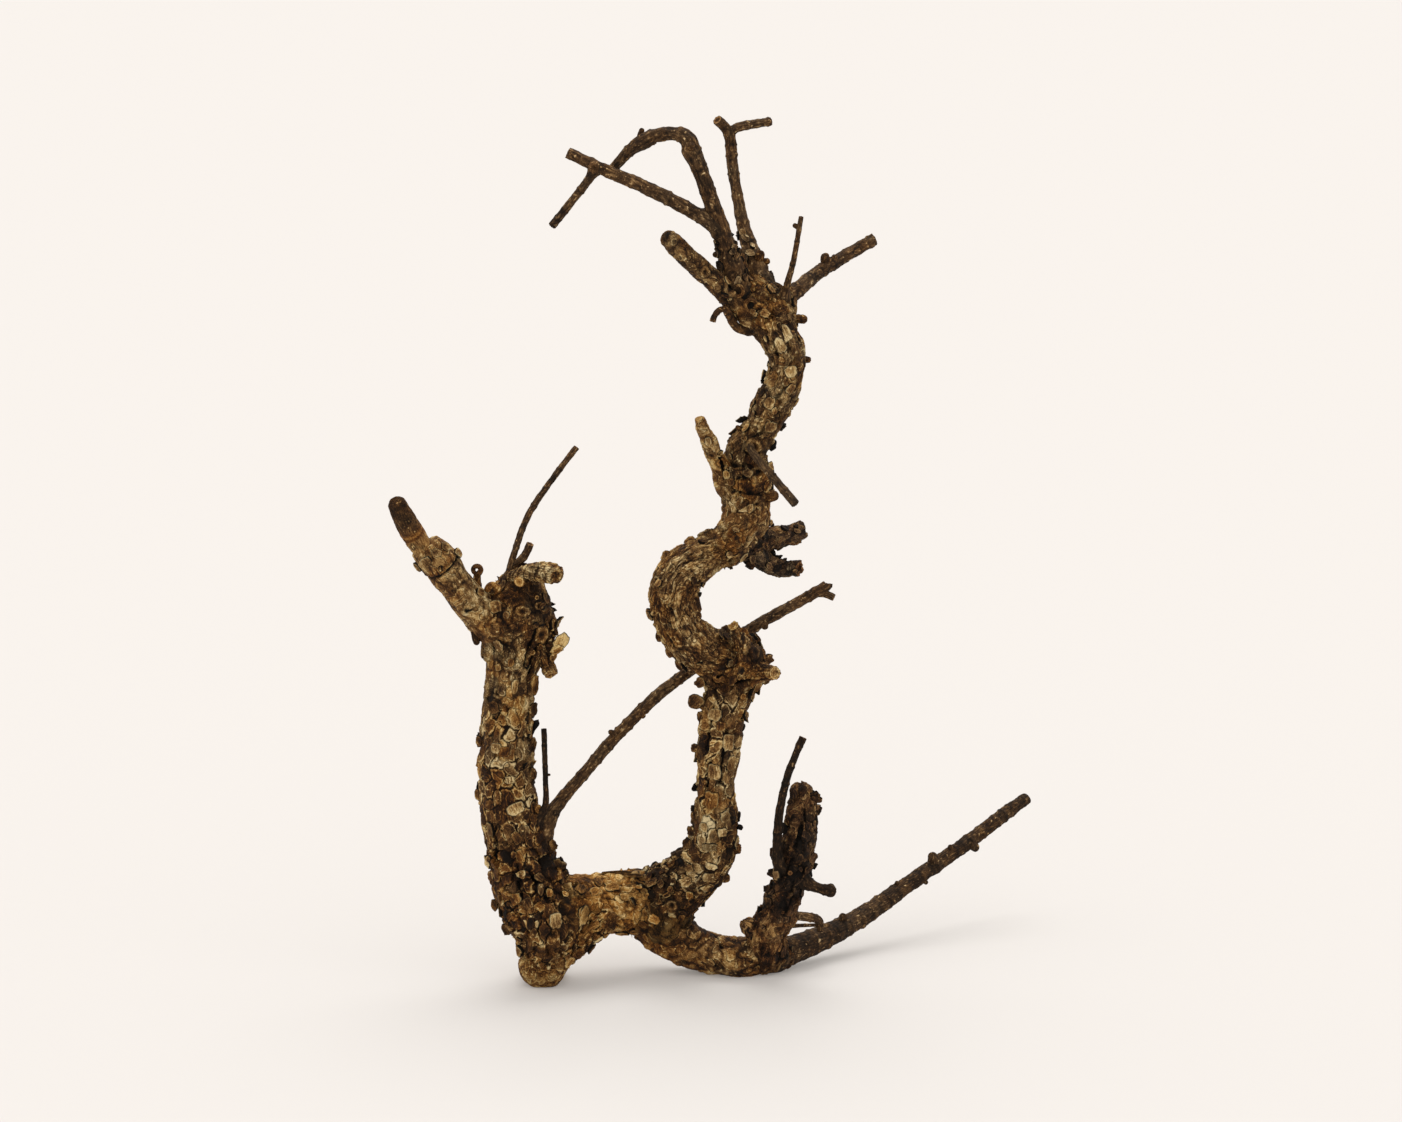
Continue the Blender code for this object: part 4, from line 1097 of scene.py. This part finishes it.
piece.set_lips(stem, [(118, 84, 5.0, 4.0, 40, 0.5, 0.3, 0.3), (110, 80, 4.6, 4.0, 100, 0.6, 0.3, 0.3),
                      (104, 78, 4.0, 3.0, 10, 0.2, 0.4, 0.3), (88, 84, 4.0, 2.6, 0, 0.0, 0.4, 0.3),
                      (48, -80, 4.4, 3.0, 0, 0.0, 0.3, 0.3), (41, -78, 4.0, 3.4, 30, 0.2, 0.26, 0.3),
                      (35, -74, 4.4, 3.4, 20, 0.1, 0.26, 0.3), (26, 76, 4.0, 3.0, -20, 0.1, 0.36, 0.3)])
for skin in (nub((2.8, -38, 52.2), (1, -0.4, 0.1), 1.6, 2.2, end="cut", tone=0.3),
             nub((-7.6, -40, 109.2), (-1, 0, 0.1), 3.6, 2.0, tone=0.22, warm=0.8),
             nub((-9.6, -40, 91.0), (-1, 0, 0.4), 2.6, 1.8, tone=0.24, warm=0.4),
             bark_curl((5.0, -49.5, 138.3), 1.7, 0.9, 200, -200, tone=0.42, warm=0.8),
             bark_curl((-4.0, -48.0, 121.5), 1.5, 0.9, 330, -250, tone=0.46, warm=0.6),
             bark_curl((-4.0, -47.0, 120.5), 3.0, 0.7, 60, 220, tone=0.36, warm=0.4, depth=1.0),
             bark_curl((-1.0, -47.5, 118.0), 3.4, 0.6, 210, 150, tone=0.44, warm=0.3),
             cut_dot(stem, 119.4, 38, 1.7, reach=1.0, tone=0.4, heart=0.2),
             cut_dot(stem, 96, 36, 1.2, tone=0.7)):
    piece.add_skin(skin)
piece.make("centre_stem", bark_paint)


# THE DARK STUB
# The blackened stub beside the centre stem, which grows out of the low limb. Its bark is nearly
# black and rough all over, and its top is brown and rounded.

dark_paint = wood_paint(
    "dark_bark",
    cool="0a0806 16110c 2a2118 463829 6f5c42 978261",
    warm="0c0704 1d120a 382212 5c3a1e 855e34 ab8552")
DARK_ROUTE = [(14.5, -28.5, 7, 5.6), (16.3, -31, 18, 7.6), (19.8, -34, 28, 7.0), (22.5, -37, 37, 6.5),
              (25.0, -39, 47.5, 6.8), (27.1, -39, 58, 6.6), (27.8, -37, 69, 5.6),
              (27.8, -36, 73.6, 4.2)]
BUMP_ROUTE = [(12, -31, 16, 4.6), (8.2, -33, 20.0, 3.6)]
dark, bump = Skin(DARK_ROUTE, step=0.5), Skin(BUMP_ROUTE)
flare(dark, [Solid("low_limb"), Solid("whip")], reach=5)
bark(dark, 171, plate=4.4, depth=0.8, lift=0.6, tilt=0.22,
     swirl=[(0, 0.5), (16, 0.6), (30, 0.3), (60, 0.2), (72, 0.6)],
     tone=[(0, 0.5), (18, 0.44), (30, 0.26), (60, 0.3), (72, 0.55)],
     warm=[(0, 1.0), (20, 0.8), (35, 0.3), (80, 0.4)], lumps=0.9)
grooves(dark, [(50, -12, 59, 4), (38, -34, 46, -14), (57, 26, 64, 8),
               (24, 10, 32, 34)], width=0.9, deep=1.2)
daub(dark, [(57, -26, 3.0, dict(tone=0.56, warm=0.5)), (58, 4, 2.2, dict(tone=0.6, warm=0.5)),
            (66, 0, 4.5, dict(tone=0.55, warm=0.6)), (48, 10, 4.0, dict(tone=0.16, warm=0.3))])
bark(bump, 173, plate=3.4, depth=0.4, lift=0.3, tilt=0.1, tone=0.42, warm=0.8, lumps=0.2)
piece = Piece(dark, bump, nub((28.5, -40, 75.5), (0.3, -0.3, 1), 0.8, 1.6),
              nub((31.0, -37, 71.0), (1, 0, 0.2), 2.6, 2.0, tone=0.36, warm=0.5),
              nub((24.5, -40, 75.0), (-0.3, -0.3, 1), 0.6, 1.5), cut_dot(dark, 41, -6, 0.9, tone=0.8),
              cut_dot(dark, 25, 10, 0.7, tone=0.8), cut_dot(dark, 30, -38, 0.7, tone=0.8))
piece.add_chips(dark, 172, 56, size=3.2, lift=0.6, tone=0.36)
piece.hang_flakes([((32.8, -37.5, 72.6), 5.0, 4.0, 50, 0.4, 0.5),
                   ((34.2, -37.5, 71.6), 3.0, 3.0, 10, 0.36, 0.5),
                   ((17.2, -40, 50.7), 5.6, 3.0, -14, 0.2, 0.5),
                   ((18.0, -40.5, 48.8), 5.0, 3.0, -30, 0.2, 0.5)],
                  facing=(0.1, -1, 0), square=2.6)
piece.set_lips(dark, [(64, 66, 4.6, 3.4, 192, -0.2, 0.3, 0.4), (56, 66, 4.6, 3.4, 168, -0.2, 0.2, 0.4),
                      (47, 66, 4.6, 3.4, 141, 0.0, 0.24, 0.4), (38, -70, 4.6, 3.4, 114, 0.0, 0.24, 0.4),
                      (30, -74, 4.6, 3.4, 90, 0.1, 0.3, 0.4), (66, -60, 4.6, 3.4, 198, -0.2, 0.4, 0.4)])
piece.make("dark_stub", dark_paint)


# THE S BEND
# The limb that bends like an S from the middle stem's knot up to the crown. The bark of its lower
# half has ridges like a fingerprint, and that of its upper half, the neck, has cracked across.

S_ROUTE = [(-2, -37, 126, 9.6), (-10.3, -43, 131, 9.0), (-17.4, -50, 140, 8.6), (-21, -54, 150.5, 8.7),
           (-19.8, -55, 158, 8.9), (-16.4, -53, 163.3, 8.9), (-9, -48, 167.4, 7.6),
           (-1.2, -43, 170.4, 7.6)]
s_limb = Skin(S_ROUTE, step=0.5)
flare(s_limb, [Solid("centre_stem"), Solid("neck")], reach=5)
swell(s_limb, [(46, 30, 4.0, 0.7), (30, -30, 4.5, 0.6), (60, -40, 4.0, 0.6), (16, 10, 4.0, 0.6)])
bark(s_limb, 181, plate=5.0, depth=0.6, lift=0.35,
     swirl=[(0, 0.6), (12, 0.85), (58, 0.95), (66, 0.5), (76, 0.5)],
     tone=[(0, 0.37), (40, 0.4), (60, 0.46), (70, 0.43)],
     warm=[(0, 0.4), (50, 0.35), (62, 0.5), (75, 0.5)], hue=0.12, lumps=0.7, flow=2.3)
grooves(s_limb, [(22, -30, 30, -38), (33, 6, 40, -8), (44, 30, 50, 48),
                 (50, -20, 57, -4)], width=0.5, deep=0.6, dark=0.7)
daub(s_limb, [(68, -9, 4.0, dict(tone=0.44, warm=0.9)), (58, -34, 3.0, dict(tone=0.55, warm=0.3)),
              (44, 40, 4.0, dict(tone=0.3, warm=0.6))])
piece = Piece(s_limb)
piece.add_chips(s_limb, 182, 60, size=2.6, lift=0.4, tone=0.4, warm=0.2)
piece.set_lips(s_limb, [(38, 72, 8.0, 4.0, 6, 0.1, 0.24, 0.4), (31, 74, 4.6, 3.0, 20, 0.1, 0.42, 0.4),
                        (35.5, -82, 4.0, 2.6, 0, 0.3, 0.4, 0.4),
                        (21, -80, 5.0, 3.2, -10, 0.4, 0.36, 0.4),
                        (27, -84, 4.4, 2.8, 10, 0.3, 0.3, 0.4), (14, -84, 4.4, 3.0, 0, 0.4, 0.3, 0.4),
                        (50, -84, 4.6, 3.0, 20, 0.1, 0.4, 0.4), (58, -86, 4.4, 3.0, 0, 0.2, 0.36, 0.4)])
piece.make("s_limb", bark_paint)

NECK_ROUTE = [(1, -42, 170.5, 7.2), (4.1, -40, 175.5, 8.0), (6.3, -38, 181, 9.1), (6.4, -37, 188, 9.5),
              (6.4, -37, 196, 9.7), (6.2, -37, 201.5, 9.0), (7.0, -39, 207, 7.6),
              (12.0, -41, 215.5, 6.5), (15.8, -43.5, 223.5, 7.4), (19.7, -46, 232, 7.1),
              (21.4, -48, 242.5, 6.9), (18.6, -46.5, 250.5, 7.6), (15.1, -43, 258, 8.8),
              (12.0, -42, 263.5, 7.6), (9.9, -42, 267, 5.7)]
LOBE_ROUTE = [(7.0, -44, 262.0, 5.2), (13, -42, 262.5, 7.4), (19.5, -41, 263.2, 5.0)]
neck, lobe = Skin(NECK_ROUTE, start=0.3), Skin(LOBE_ROUTE)
flare(neck, [Solid("s_limb"), Solid("crown_stub"), lobe], reach=5)
bark(neck, 191, plate=[(0, 6.0), (40, 5.0), (80, 4.8), (110, 4.2)],
     swirl=[(0, 0.8), (20, 0.7), (40, 0.5), (70, 0.3), (95, 0.5)], depth=0.6, lift=0.35,
     tone=[(0, 0.44), (14, 0.38), (30, 0.35), (50, 0.43), (80, 0.43), (90, 0.38), (100, 0.38)],
     warm=[(0, 0.5), (25, 0.4), (50, 0.25), (85, 0.15), (98, 0.8)], lumps=0.5, flow=2.6)
daub(neck, [(3, -8, 3.4, dict(tone=0.4, warm=1.3, crack=0.0)), (8, -34, 5.0, dict(tone=0.5, warm=0.5)),
            (98, -20, 7.0, dict(warm=1.1, tone=0.5)), (24, 0, 5.0, dict(warm=1.0))])
grooves(neck, [(80, -34, 86, -24), (81, 12, 87, 20), (46, -16, 50, 10), (14, -20, 18, 30),
               (24, -50, 22, 40), (28, -30, 30, 50), (35, -60, 37, 20), (40, -10, 42, 50),
               (30, 30, 34, -20), (62, -10, 70, 6)], width=0.7, deep=1.0, dark=0.8)
neck.paint["flow"] *= level([(0, 0.3), (12, 0.3), (20, 1)], neck.x)
scar(neck, 99.4, -15, 2.2)
scar(neck, 104.8, 43, 2.0)
scar(neck, 43, 8, 2.4)
flare(lobe, [neck], reach=4)
bark(lobe, 192, plate=4.2, depth=0.8, lift=0.6, tilt=0.25, swirl=0.4, tone=0.38, warm=0.5, lumps=0.8)
piece = Piece(neck, lobe, nub((16.2, -42, 189.5), (1, -0.6, 0.2), 0.8, 2.2),
              nub((27.0, -45, 256.3), (1, -0.5, 0), 0.6, 1.7),
              nub((29.6, -46, 241.3), (1, -0.5, 0), 0.4, 1.3, end="cut", tone=0.3),
              nub((4.2, -42, 214.8), (-0.7, -0.5, 0.5), 1.4, 1.0),
              nub((5.0, -42, 268.0), (-0.05, 0.1, 1), 11.0, 3.4, tip=1.6, tone=0.4, warm=0.3),
              nub((11.2, -39, 279.0), (0.4, -0.4, 1), 1.0, 1.9),
              nub((12.8, -38, 277.0), (1, -0.4, 0.2), 1.2, 1.5),
              cut_dot(lobe, 6, 10, 1.5, tone=0.5, heart=0.05),
              cut_dot(lobe, 12, 30, 1.4, tone=0.5, heart=0.1),
              bark_curl((8.0, -50.5, 262.0), 2.2, 0.8, 30, 250, tone=0.4, warm=0.5),
              bark_curl((14.5, -51.5, 256.0), 2.4, 0.8, 160, 230, tone=0.5, warm=0.8),
              bark_curl((3.0, -51.0, 267.5), 2.0, 0.7, 200, 260, tone=0.34, warm=0.4))
piece.add_chips(neck, 193, 70, size=3.0, lift=0.4)
piece.add_chips(lobe, 194, 20, size=2.8, lift=0.5)
piece.set_chips(neck, [(86.4, 24, 7.0, 4.0, 0, 0.76, 0.1), (83.7, -7, 6.0, 3.6, 4, 0.74, 0.15),
                       (76, 10, 5.0, 5.0, 30, 0.55, 0.3), (62, -14, 5.0, 4.0, 0, 0.55, 0.25),
                       (70, 24, 4.6, 3.6, -20, 0.5, 0.3), (54, 20, 5.0, 4.6, 10, 0.5, 0.3),
                       (15, -2, 2.6, 6.0, 4, 0.66, 0.3)], rise=0.1, slope=0.05, thick=0.4)
piece.make("neck", bark_paint)


# THE STUBS ON THE NECK
# Side branches that have grown out of the neck: two blackened forks on the right with cut ends, a
# pale stub on the left, a split spike that hangs forward, and the blunt stub of the crown.

FORKS = {
    "upper_fork": [(3.5, -40, 171, 5.8), (12, -33, 171.2, 5.0), (20, -28, 171.4, 4.3),
                   (27.6, -22, 173, 3.6)],
    "lower_fork": [(8, -37, 168.3, 4.8), (14.5, -33, 162.4, 4.2), (20, -30.5, 159.8, 3.6),
                   (24, -30, 159.8, 3.1), (26.8, -31.4, 159.8, 2.9)]}
for number, (name, route) in enumerate(FORKS.items()):
    fork = Skin(route, step=0.4, end="cut")
    flare(fork, [Solid("neck"), Solid("s_limb")], reach=4)
    bark(fork, 201 + number, plate=3.8, depth=0.6, lift=0.4, tilt=0.18, swirl=0.3, tone=0.4, warm=0.35,
         lumps=0.4)
    end_grain(fork, warm=1.3 if number else 0.5)
    piece = Piece(fork)
    piece.add_chips(fork, 203 + number, 16, size=2.6, lift=0.4, tone=0.42)
    piece.make(name, dark_paint)

MID_ROUTE = [(-0.5, -39, 193, 5.0), (-2.6, -40, 199, 4.0), (-5.0, -43, 204.6, 3.4),
             (-7.3, -47, 210.4, 3.1), (-9.8, -51, 216.2, 2.7), (-10.9, -54, 219.4, 2.4)]
mid = Skin(MID_ROUTE, step=0.4, end=0.4)
flare(mid, [Solid("neck")], reach=4)
bark(mid, 211, plate=5.0, depth=0.25, lift=0.1, swirl=0.85, tone=0.58, spread=0.08, warm=0.45,
     crack=0.12, lumps=0.5, flow=4.5, drawn=0.8)
mid.paint["flow"] *= 0.4
mid.paint["crack"] *= 0.5
scar(mid, 17, -20, 1.2)
scar(mid, 12, 20, 1.4)
groove(mid, (4, 0), (16, 34), width=0.7)
piece = Piece(mid)
piece.add_chips(mid, 212, 6, size=2.6, lift=0.2, tone=0.6)
piece.make("mid_stub", bark_paint)

SPIKE_ROUTE = [(7.5, -42, 210.5, 1.6), (9, -50, 206.8, 1.4), (16.9, -58, 198.2, 1.5),
               (24.3, -65, 190.2, 1.65)]
spike = Skin(SPIKE_ROUTE, step=0.3, end="cut")
rind(spike, 221, tone=0.38, warm=0.15, knobbly=0.08, rings=12, flecks=0.1)
piece = Piece(spike)
piece.make("split_spike", twig_paint)

CROWN_ROUTE = [(7, -45, 259.2, 5.4), (2.6, -46, 263.6, 4.9), (-3.0, -50, 268.8, 4.2),
               (-10.8, -56, 276.3, 4.0), (-18.1, -62, 283.6, 3.9), (-22.2, -64.6, 287.6, 3.1)]
crown = Skin(CROWN_ROUTE, step=0.5)
flare(crown, [Solid("neck")], reach=4)
bark(crown, 231, plate=5.6, depth=0.22, lift=0.12, swirl=[(0, 0.6), (14, 0.85)], tone=0.36, spread=0.07,
     warm=0.3, crack=0.2, lumps=0.5, flow=5.0, drawn=0.8)
crown.paint["flow"] *= 0.5
crown.paint["crack"] *= 0.6
scar(crown, 27, 10, 1.8)
scar(crown, 14, 30, 2.4)
groove(crown, (6, 40), (16, 56), width=1.2, deep=2.0)
piece = Piece(crown)
piece.add_chips(crown, 232, 16, size=2.6, lift=0.3, tone=0.34, where=[(0, 1.5), (16, 0.8), (22, 0.1)])
piece.make("crown_stub", bark_paint)


# THE TWIGS
# The thin shoots all over the wood: brown bark with faint rings, buds and pale flecks, and small
# cut ends. Each grows out of a swollen base.

TWIGS = {
    "left_whip": dict(
        strokes=[[(-80.5, -34, 152, 1.9), (-82.7, -35, 159, 1.5), (-80.9, -33, 167, 1.2),
                  (-75.9, -27, 180, 1.25), (-67.3, -20, 192.2, 1.15), (-58, -15, 204, 1.15)],
                 [(-82, -34.5, 161, 1.5), (-77.5, -36, 165.2, 1.5), (-75, -37, 170.4, 1.5)]],
        grows_on=["left_trunk"]),
    "arch_twig": dict(
        strokes=[[(5, -43.5, 264, 5.4), (1.7, -46, 273, 4.6), (-2, -52, 286.5, 3.5),
                  (-7.8, -57, 304, 2.9), (-10.4, -59, 311.5, 2.9), (-13.4, -61, 318.5, 3.4),
                  (-15.4, -61, 323.8, 3.1), (-20, -60, 325.8, 2.5), (-27, -57, 324.9, 2.6),
                  (-32, -55, 322.4, 2.9), (-37.2, -51.5, 318.7, 2.1), (-42.8, -47, 312.2, 1.8)]],
        grows_on=["neck", "crown_stub"], flakes=46,
        buds=[((-32.4, -54.5, 325.6), (0.2, -0.2, 1), 0.9, 1.3),
              ((-14.4, -64, 321.4), (0, -1, 0), 0.3, 2.0),
              ((-4.6, -50, 281.0), (-1, -0.4, -0.2), 0.5, 1.4)]),
    "cross_twig": dict(
        strokes=[[(-4, -53.5, 290.0, 2.8), (-11, -56, 295.6, 2.6), (-28, -57, 304.8, 2.5),
                  (-45.5, -56, 312.2, 2.3), (-52, -55, 315.2, 2.1), (-59.2, -54, 318.5, 2.1)]],
        grows_on=["arch_twig"],
        buds=[((-49.6, -57, 313.4), (0, -1, 0.2), 0.6, 2.2)]),
    "hanging_shoot": dict(
        strokes=[[(-49, -56, 313, 1.9), (-51.8, -55, 308.5, 1.6), (-57.3, -52, 301.5, 1.45),
                  (-65.4, -49, 291.3, 1.5)]],
        grows_on=["cross_twig"]),
    "forked_twig": dict(
        strokes=[[(12.2, -40.5, 265.5, 4.8), (10.2, -37, 275.5, 3.9), (7, -33, 284, 2.9),
                  (4.6, -30, 293, 2.3), (1.6, -25, 309.5, 2.05), (0, -24, 323.3, 2.1),
                  (-4.4, -28, 329, 1.8)],
                 [(0.2, -24, 323.6, 2.0), (3.5, -23, 326, 1.75), (15.6, -18, 327.9, 1.6)]],
        grows_on=["neck"], flakes=34,
        buds=[((4.4, -33, 279.0), (-1, -0.5, 0.6), 1.6, 1.8)]),
    "fine_twig": dict(
        strokes=[[(20, -44, 262, 1.8), (21.5, -50, 270.5, 1.2), (23.6, -55, 279.5, 1.0),
                  (26.1, -59, 295.5, 0.85)]],
        grows_on=["neck"],
        buds=[((24.6, -57.5, 291.8), (-1, -0.4, 0.6), 0.8, 1.1)]),
    "right_twig": dict(
        strokes=[[(17.5, -42, 262.2, 3.5), (24.3, -40, 266.0, 3.0), (34.0, -30, 272.6, 2.6),
                  (45.6, -22, 278.8, 2.4), (54.7, -18, 283.6, 2.3)]],
        grows_on=["neck"],
        buds=[((36.2, -28.5, 276.4), (-0.2, -0.2, 1), 1.4, 2.0),
              ((39.4, -27, 276.6), (0.1, -0.2, 1), 1.0, 1.4)]),
    "curled_twig": dict(
        strokes=[[(7.5, -45, 252, 1.4), (2.6, -46.5, 253.2, 1.25), (-0.1, -50, 258, 1.1),
                  (-1.8, -54, 260.9, 1.1), (-3.9, -57, 260.9, 1.1), (-5.5, -60, 259.3, 1.1),
                  (-6.2, -61, 257.3, 1.25)]],
        grows_on=["neck", "crown_stub"], tone=0.36, warm=0.8),
    "long_twig": dict(
        strokes=[[(-72.5, -42, 54.5, 5.0), (-68.7, -40, 64.5, 3.3), (-63.3, -37, 71.9, 2.5),
                  (-55.1, -34, 81.0, 2.25), (-47.5, -31, 89.6, 2.3), (-38.2, -28, 99.1, 2.25),
                  (-27.6, -24, 108.8, 2.3), (-15.6, -21, 117.6, 2.2), (8.3, -16, 133.4, 2.2),
                  (23.8, -13, 141.8, 2.15), (36.9, -10, 148.7, 2.1), (38.4, -9.5, 150.1, 1.9)],
                 [(33.5, -9.5, 146.4, 1.7), (37, -10, 146.4, 1.5), (40.7, -11, 144.9, 1.3)]],
        grows_on=["left_trunk"],
        buds=[((-44.6, -33, 96.6), (-0.6, -0.6, 0.5), 0.5, 1.3),
              ((-33.0, -28, 102.4), (0.5, -0.6, -0.6), 0.4, 1.3),
              ((14.0, -17, 135.0), (0.2, -0.6, -0.8), 0.3, 1.4)]),
    "needle_twig": dict(
        strokes=[[(-76.5, -44, 58, 2.4), (-71.5, -45.5, 67, 1.8), (-69.5, -46, 72, 1.2),
                  (-69.4, -47, 82, 1.0), (-69.9, -46, 101, 1.05)]],
        grows_on=["left_trunk"], tone=0.14,
        buds=[((-68.9, -46.5, 83.2), (1, -0.2, 0.1), 0.9, 0.6)]),
    "dark_twig": dict(
        strokes=[[(22.5, -40, 43, 2.0), (18.8, -44, 48.6, 1.9), (18.5, -47, 58, 1.75),
                  (19.3, -48, 69.1, 1.6), (21.9, -47, 81.4, 1.45), (25.3, -45, 90.6, 1.35),
                  (28.2, -44, 97.2, 1.45)]],
        grows_on=["dark_stub"], tone=0.15),
    "knob_twig": dict(
        strokes=[[(26, -39, 42.5, 3.2), (30.4, -41, 39.3, 2.4), (34.2, -43, 38.1, 1.9),
                  (36.8, -45, 37.9, 2.1), (38.4, -46, 37.9, 2.7)]],
        grows_on=["dark_stub"], tone=0.16, end="round"),
    "tucked_twig": dict(
        strokes=[[(18, -33, 24.4, 2.0), (23.8, -30, 23.7, 1.8), (32.5, -24, 21.2, 1.7),
                  (35.4, -20, 18.7, 1.6), (35.9, -18, 14.5, 1.4)],
                 [(22, -24, 17.6, 0.8), (31, -20, 17.0, 0.7), (39.5, -15, 15.6, 0.7)]],
        grows_on=["dark_stub"])}
for number, (name, twig) in enumerate(TWIGS.items()):
    piece = Piece()
    for stroke, route in enumerate(twig["strokes"]):
        thickest = max(point[3] for point in route)
        shoot = Skin(route, step=0.5 if thickest > 2.2 else 0.36, end=twig.get("end", "cut"), girth=1.2)
        flare(shoot, [Solid(parent) for parent in twig["grows_on"]], reach=3)
        rind(shoot, 300 + 10 * number + stroke, tone=twig.get("tone", 0.36), warm=twig.get("warm", 0.35))
        if shoot.closing == "cut":
            end_grain(shoot)
        piece.add_skin(shoot)
        if stroke == 0 and "flakes" in twig:
            piece.add_chips(shoot, 340 + number, twig["flakes"], size=2.6, lift=0.5, tone=0.38,
                            warm=0.3, where=[(0, 1), (20, 1), (28, 0)])
    for place in twig.get("buds", []):
        piece.add_skin(nub(*place))
    piece.make(name, twig_paint)


# THE FLOOR, THE LIGHT AND THE CAMERA
# A plain off-white studio table under two large soft lamps, with light from all round. The camera
# looks slightly down, from the photograph's angle, through a long lens.

FLOOR_SIZE = 60.0
CAMERA_TARGET = (-0.0105, -0.048, 0.16576)
CAMERA_AWAY = 1.4
CAMERA_DOWN = math.radians(10.0)
LENS_PIXELS = 3737.35
PHOTO_WIDTH = 1402
SENSOR = 36.0

floor_mesh = bpy.data.meshes.new("floor")
half = FLOOR_SIZE / 2
floor_mesh.from_pydata([(-half, -half, 0), (half, -half, 0), (half, half, 0), (-half, half, 0)], [],
                       [(0, 1, 2, 3)])
floor = bpy.data.objects.new("floor", floor_mesh)
bpy.context.scene.collection.objects.link(floor)
floor_paint = bpy.data.materials.new("floor")
floor_paint.use_nodes = True
floor_looks = {"Base Color": (0.475, 0.461, 0.452, 1), "Emission Color": (1.0, 0.93, 0.86, 1),
               "Emission Strength": 0.17, "Roughness": 0.9, "Specular IOR Level": 0.0}
for socket, value in floor_looks.items():
    floor_paint.node_tree.nodes["Principled BSDF"].inputs[socket].default_value = value
floor_mesh.materials.append(floor_paint)

world = bpy.data.worlds.new("studio")
world.use_nodes = True
world.node_tree.nodes["Background"].inputs["Color"].default_value = (1.0, 0.97, 0.93, 1)
world.node_tree.nodes["Background"].inputs["Strength"].default_value = 0.95
bpy.context.scene.world = world

LAMPS = {"top_lamp": dict(energy=1.45, angle=40, toward=(0.05, 0.45, 1.0)),
         "front_lamp": dict(energy=1.1, angle=170, toward=(-0.4, -0.8, 0.85))}
for name, lamp in LAMPS.items():
    sun = bpy.data.lights.new(name, 'SUN')
    sun.energy = lamp["energy"]
    sun.angle = math.radians(lamp["angle"])
    sun.color = (1.0, 0.985, 0.96)
    placed = bpy.data.objects.new(name, sun)
    placed.rotation_euler = Vector(lamp["toward"]).to_track_quat('Z', 'Y').to_euler()
    bpy.context.scene.collection.objects.link(placed)

camera_data = bpy.data.cameras.new("camera")
camera_data.lens = LENS_PIXELS / PHOTO_WIDTH * SENSOR
camera_data.sensor_width = SENSOR
camera_data.clip_end = 100.0
camera = bpy.data.objects.new("camera", camera_data)
toward = Vector((0, -math.cos(CAMERA_DOWN), math.sin(CAMERA_DOWN)))
camera.location = Vector(CAMERA_TARGET) + toward * CAMERA_AWAY
camera.rotation_euler = toward.to_track_quat('Z', 'Y').to_euler()
bpy.context.scene.collection.objects.link(camera)
bpy.context.scene.camera = camera
bpy.context.scene.view_settings.view_transform = 'Standard'
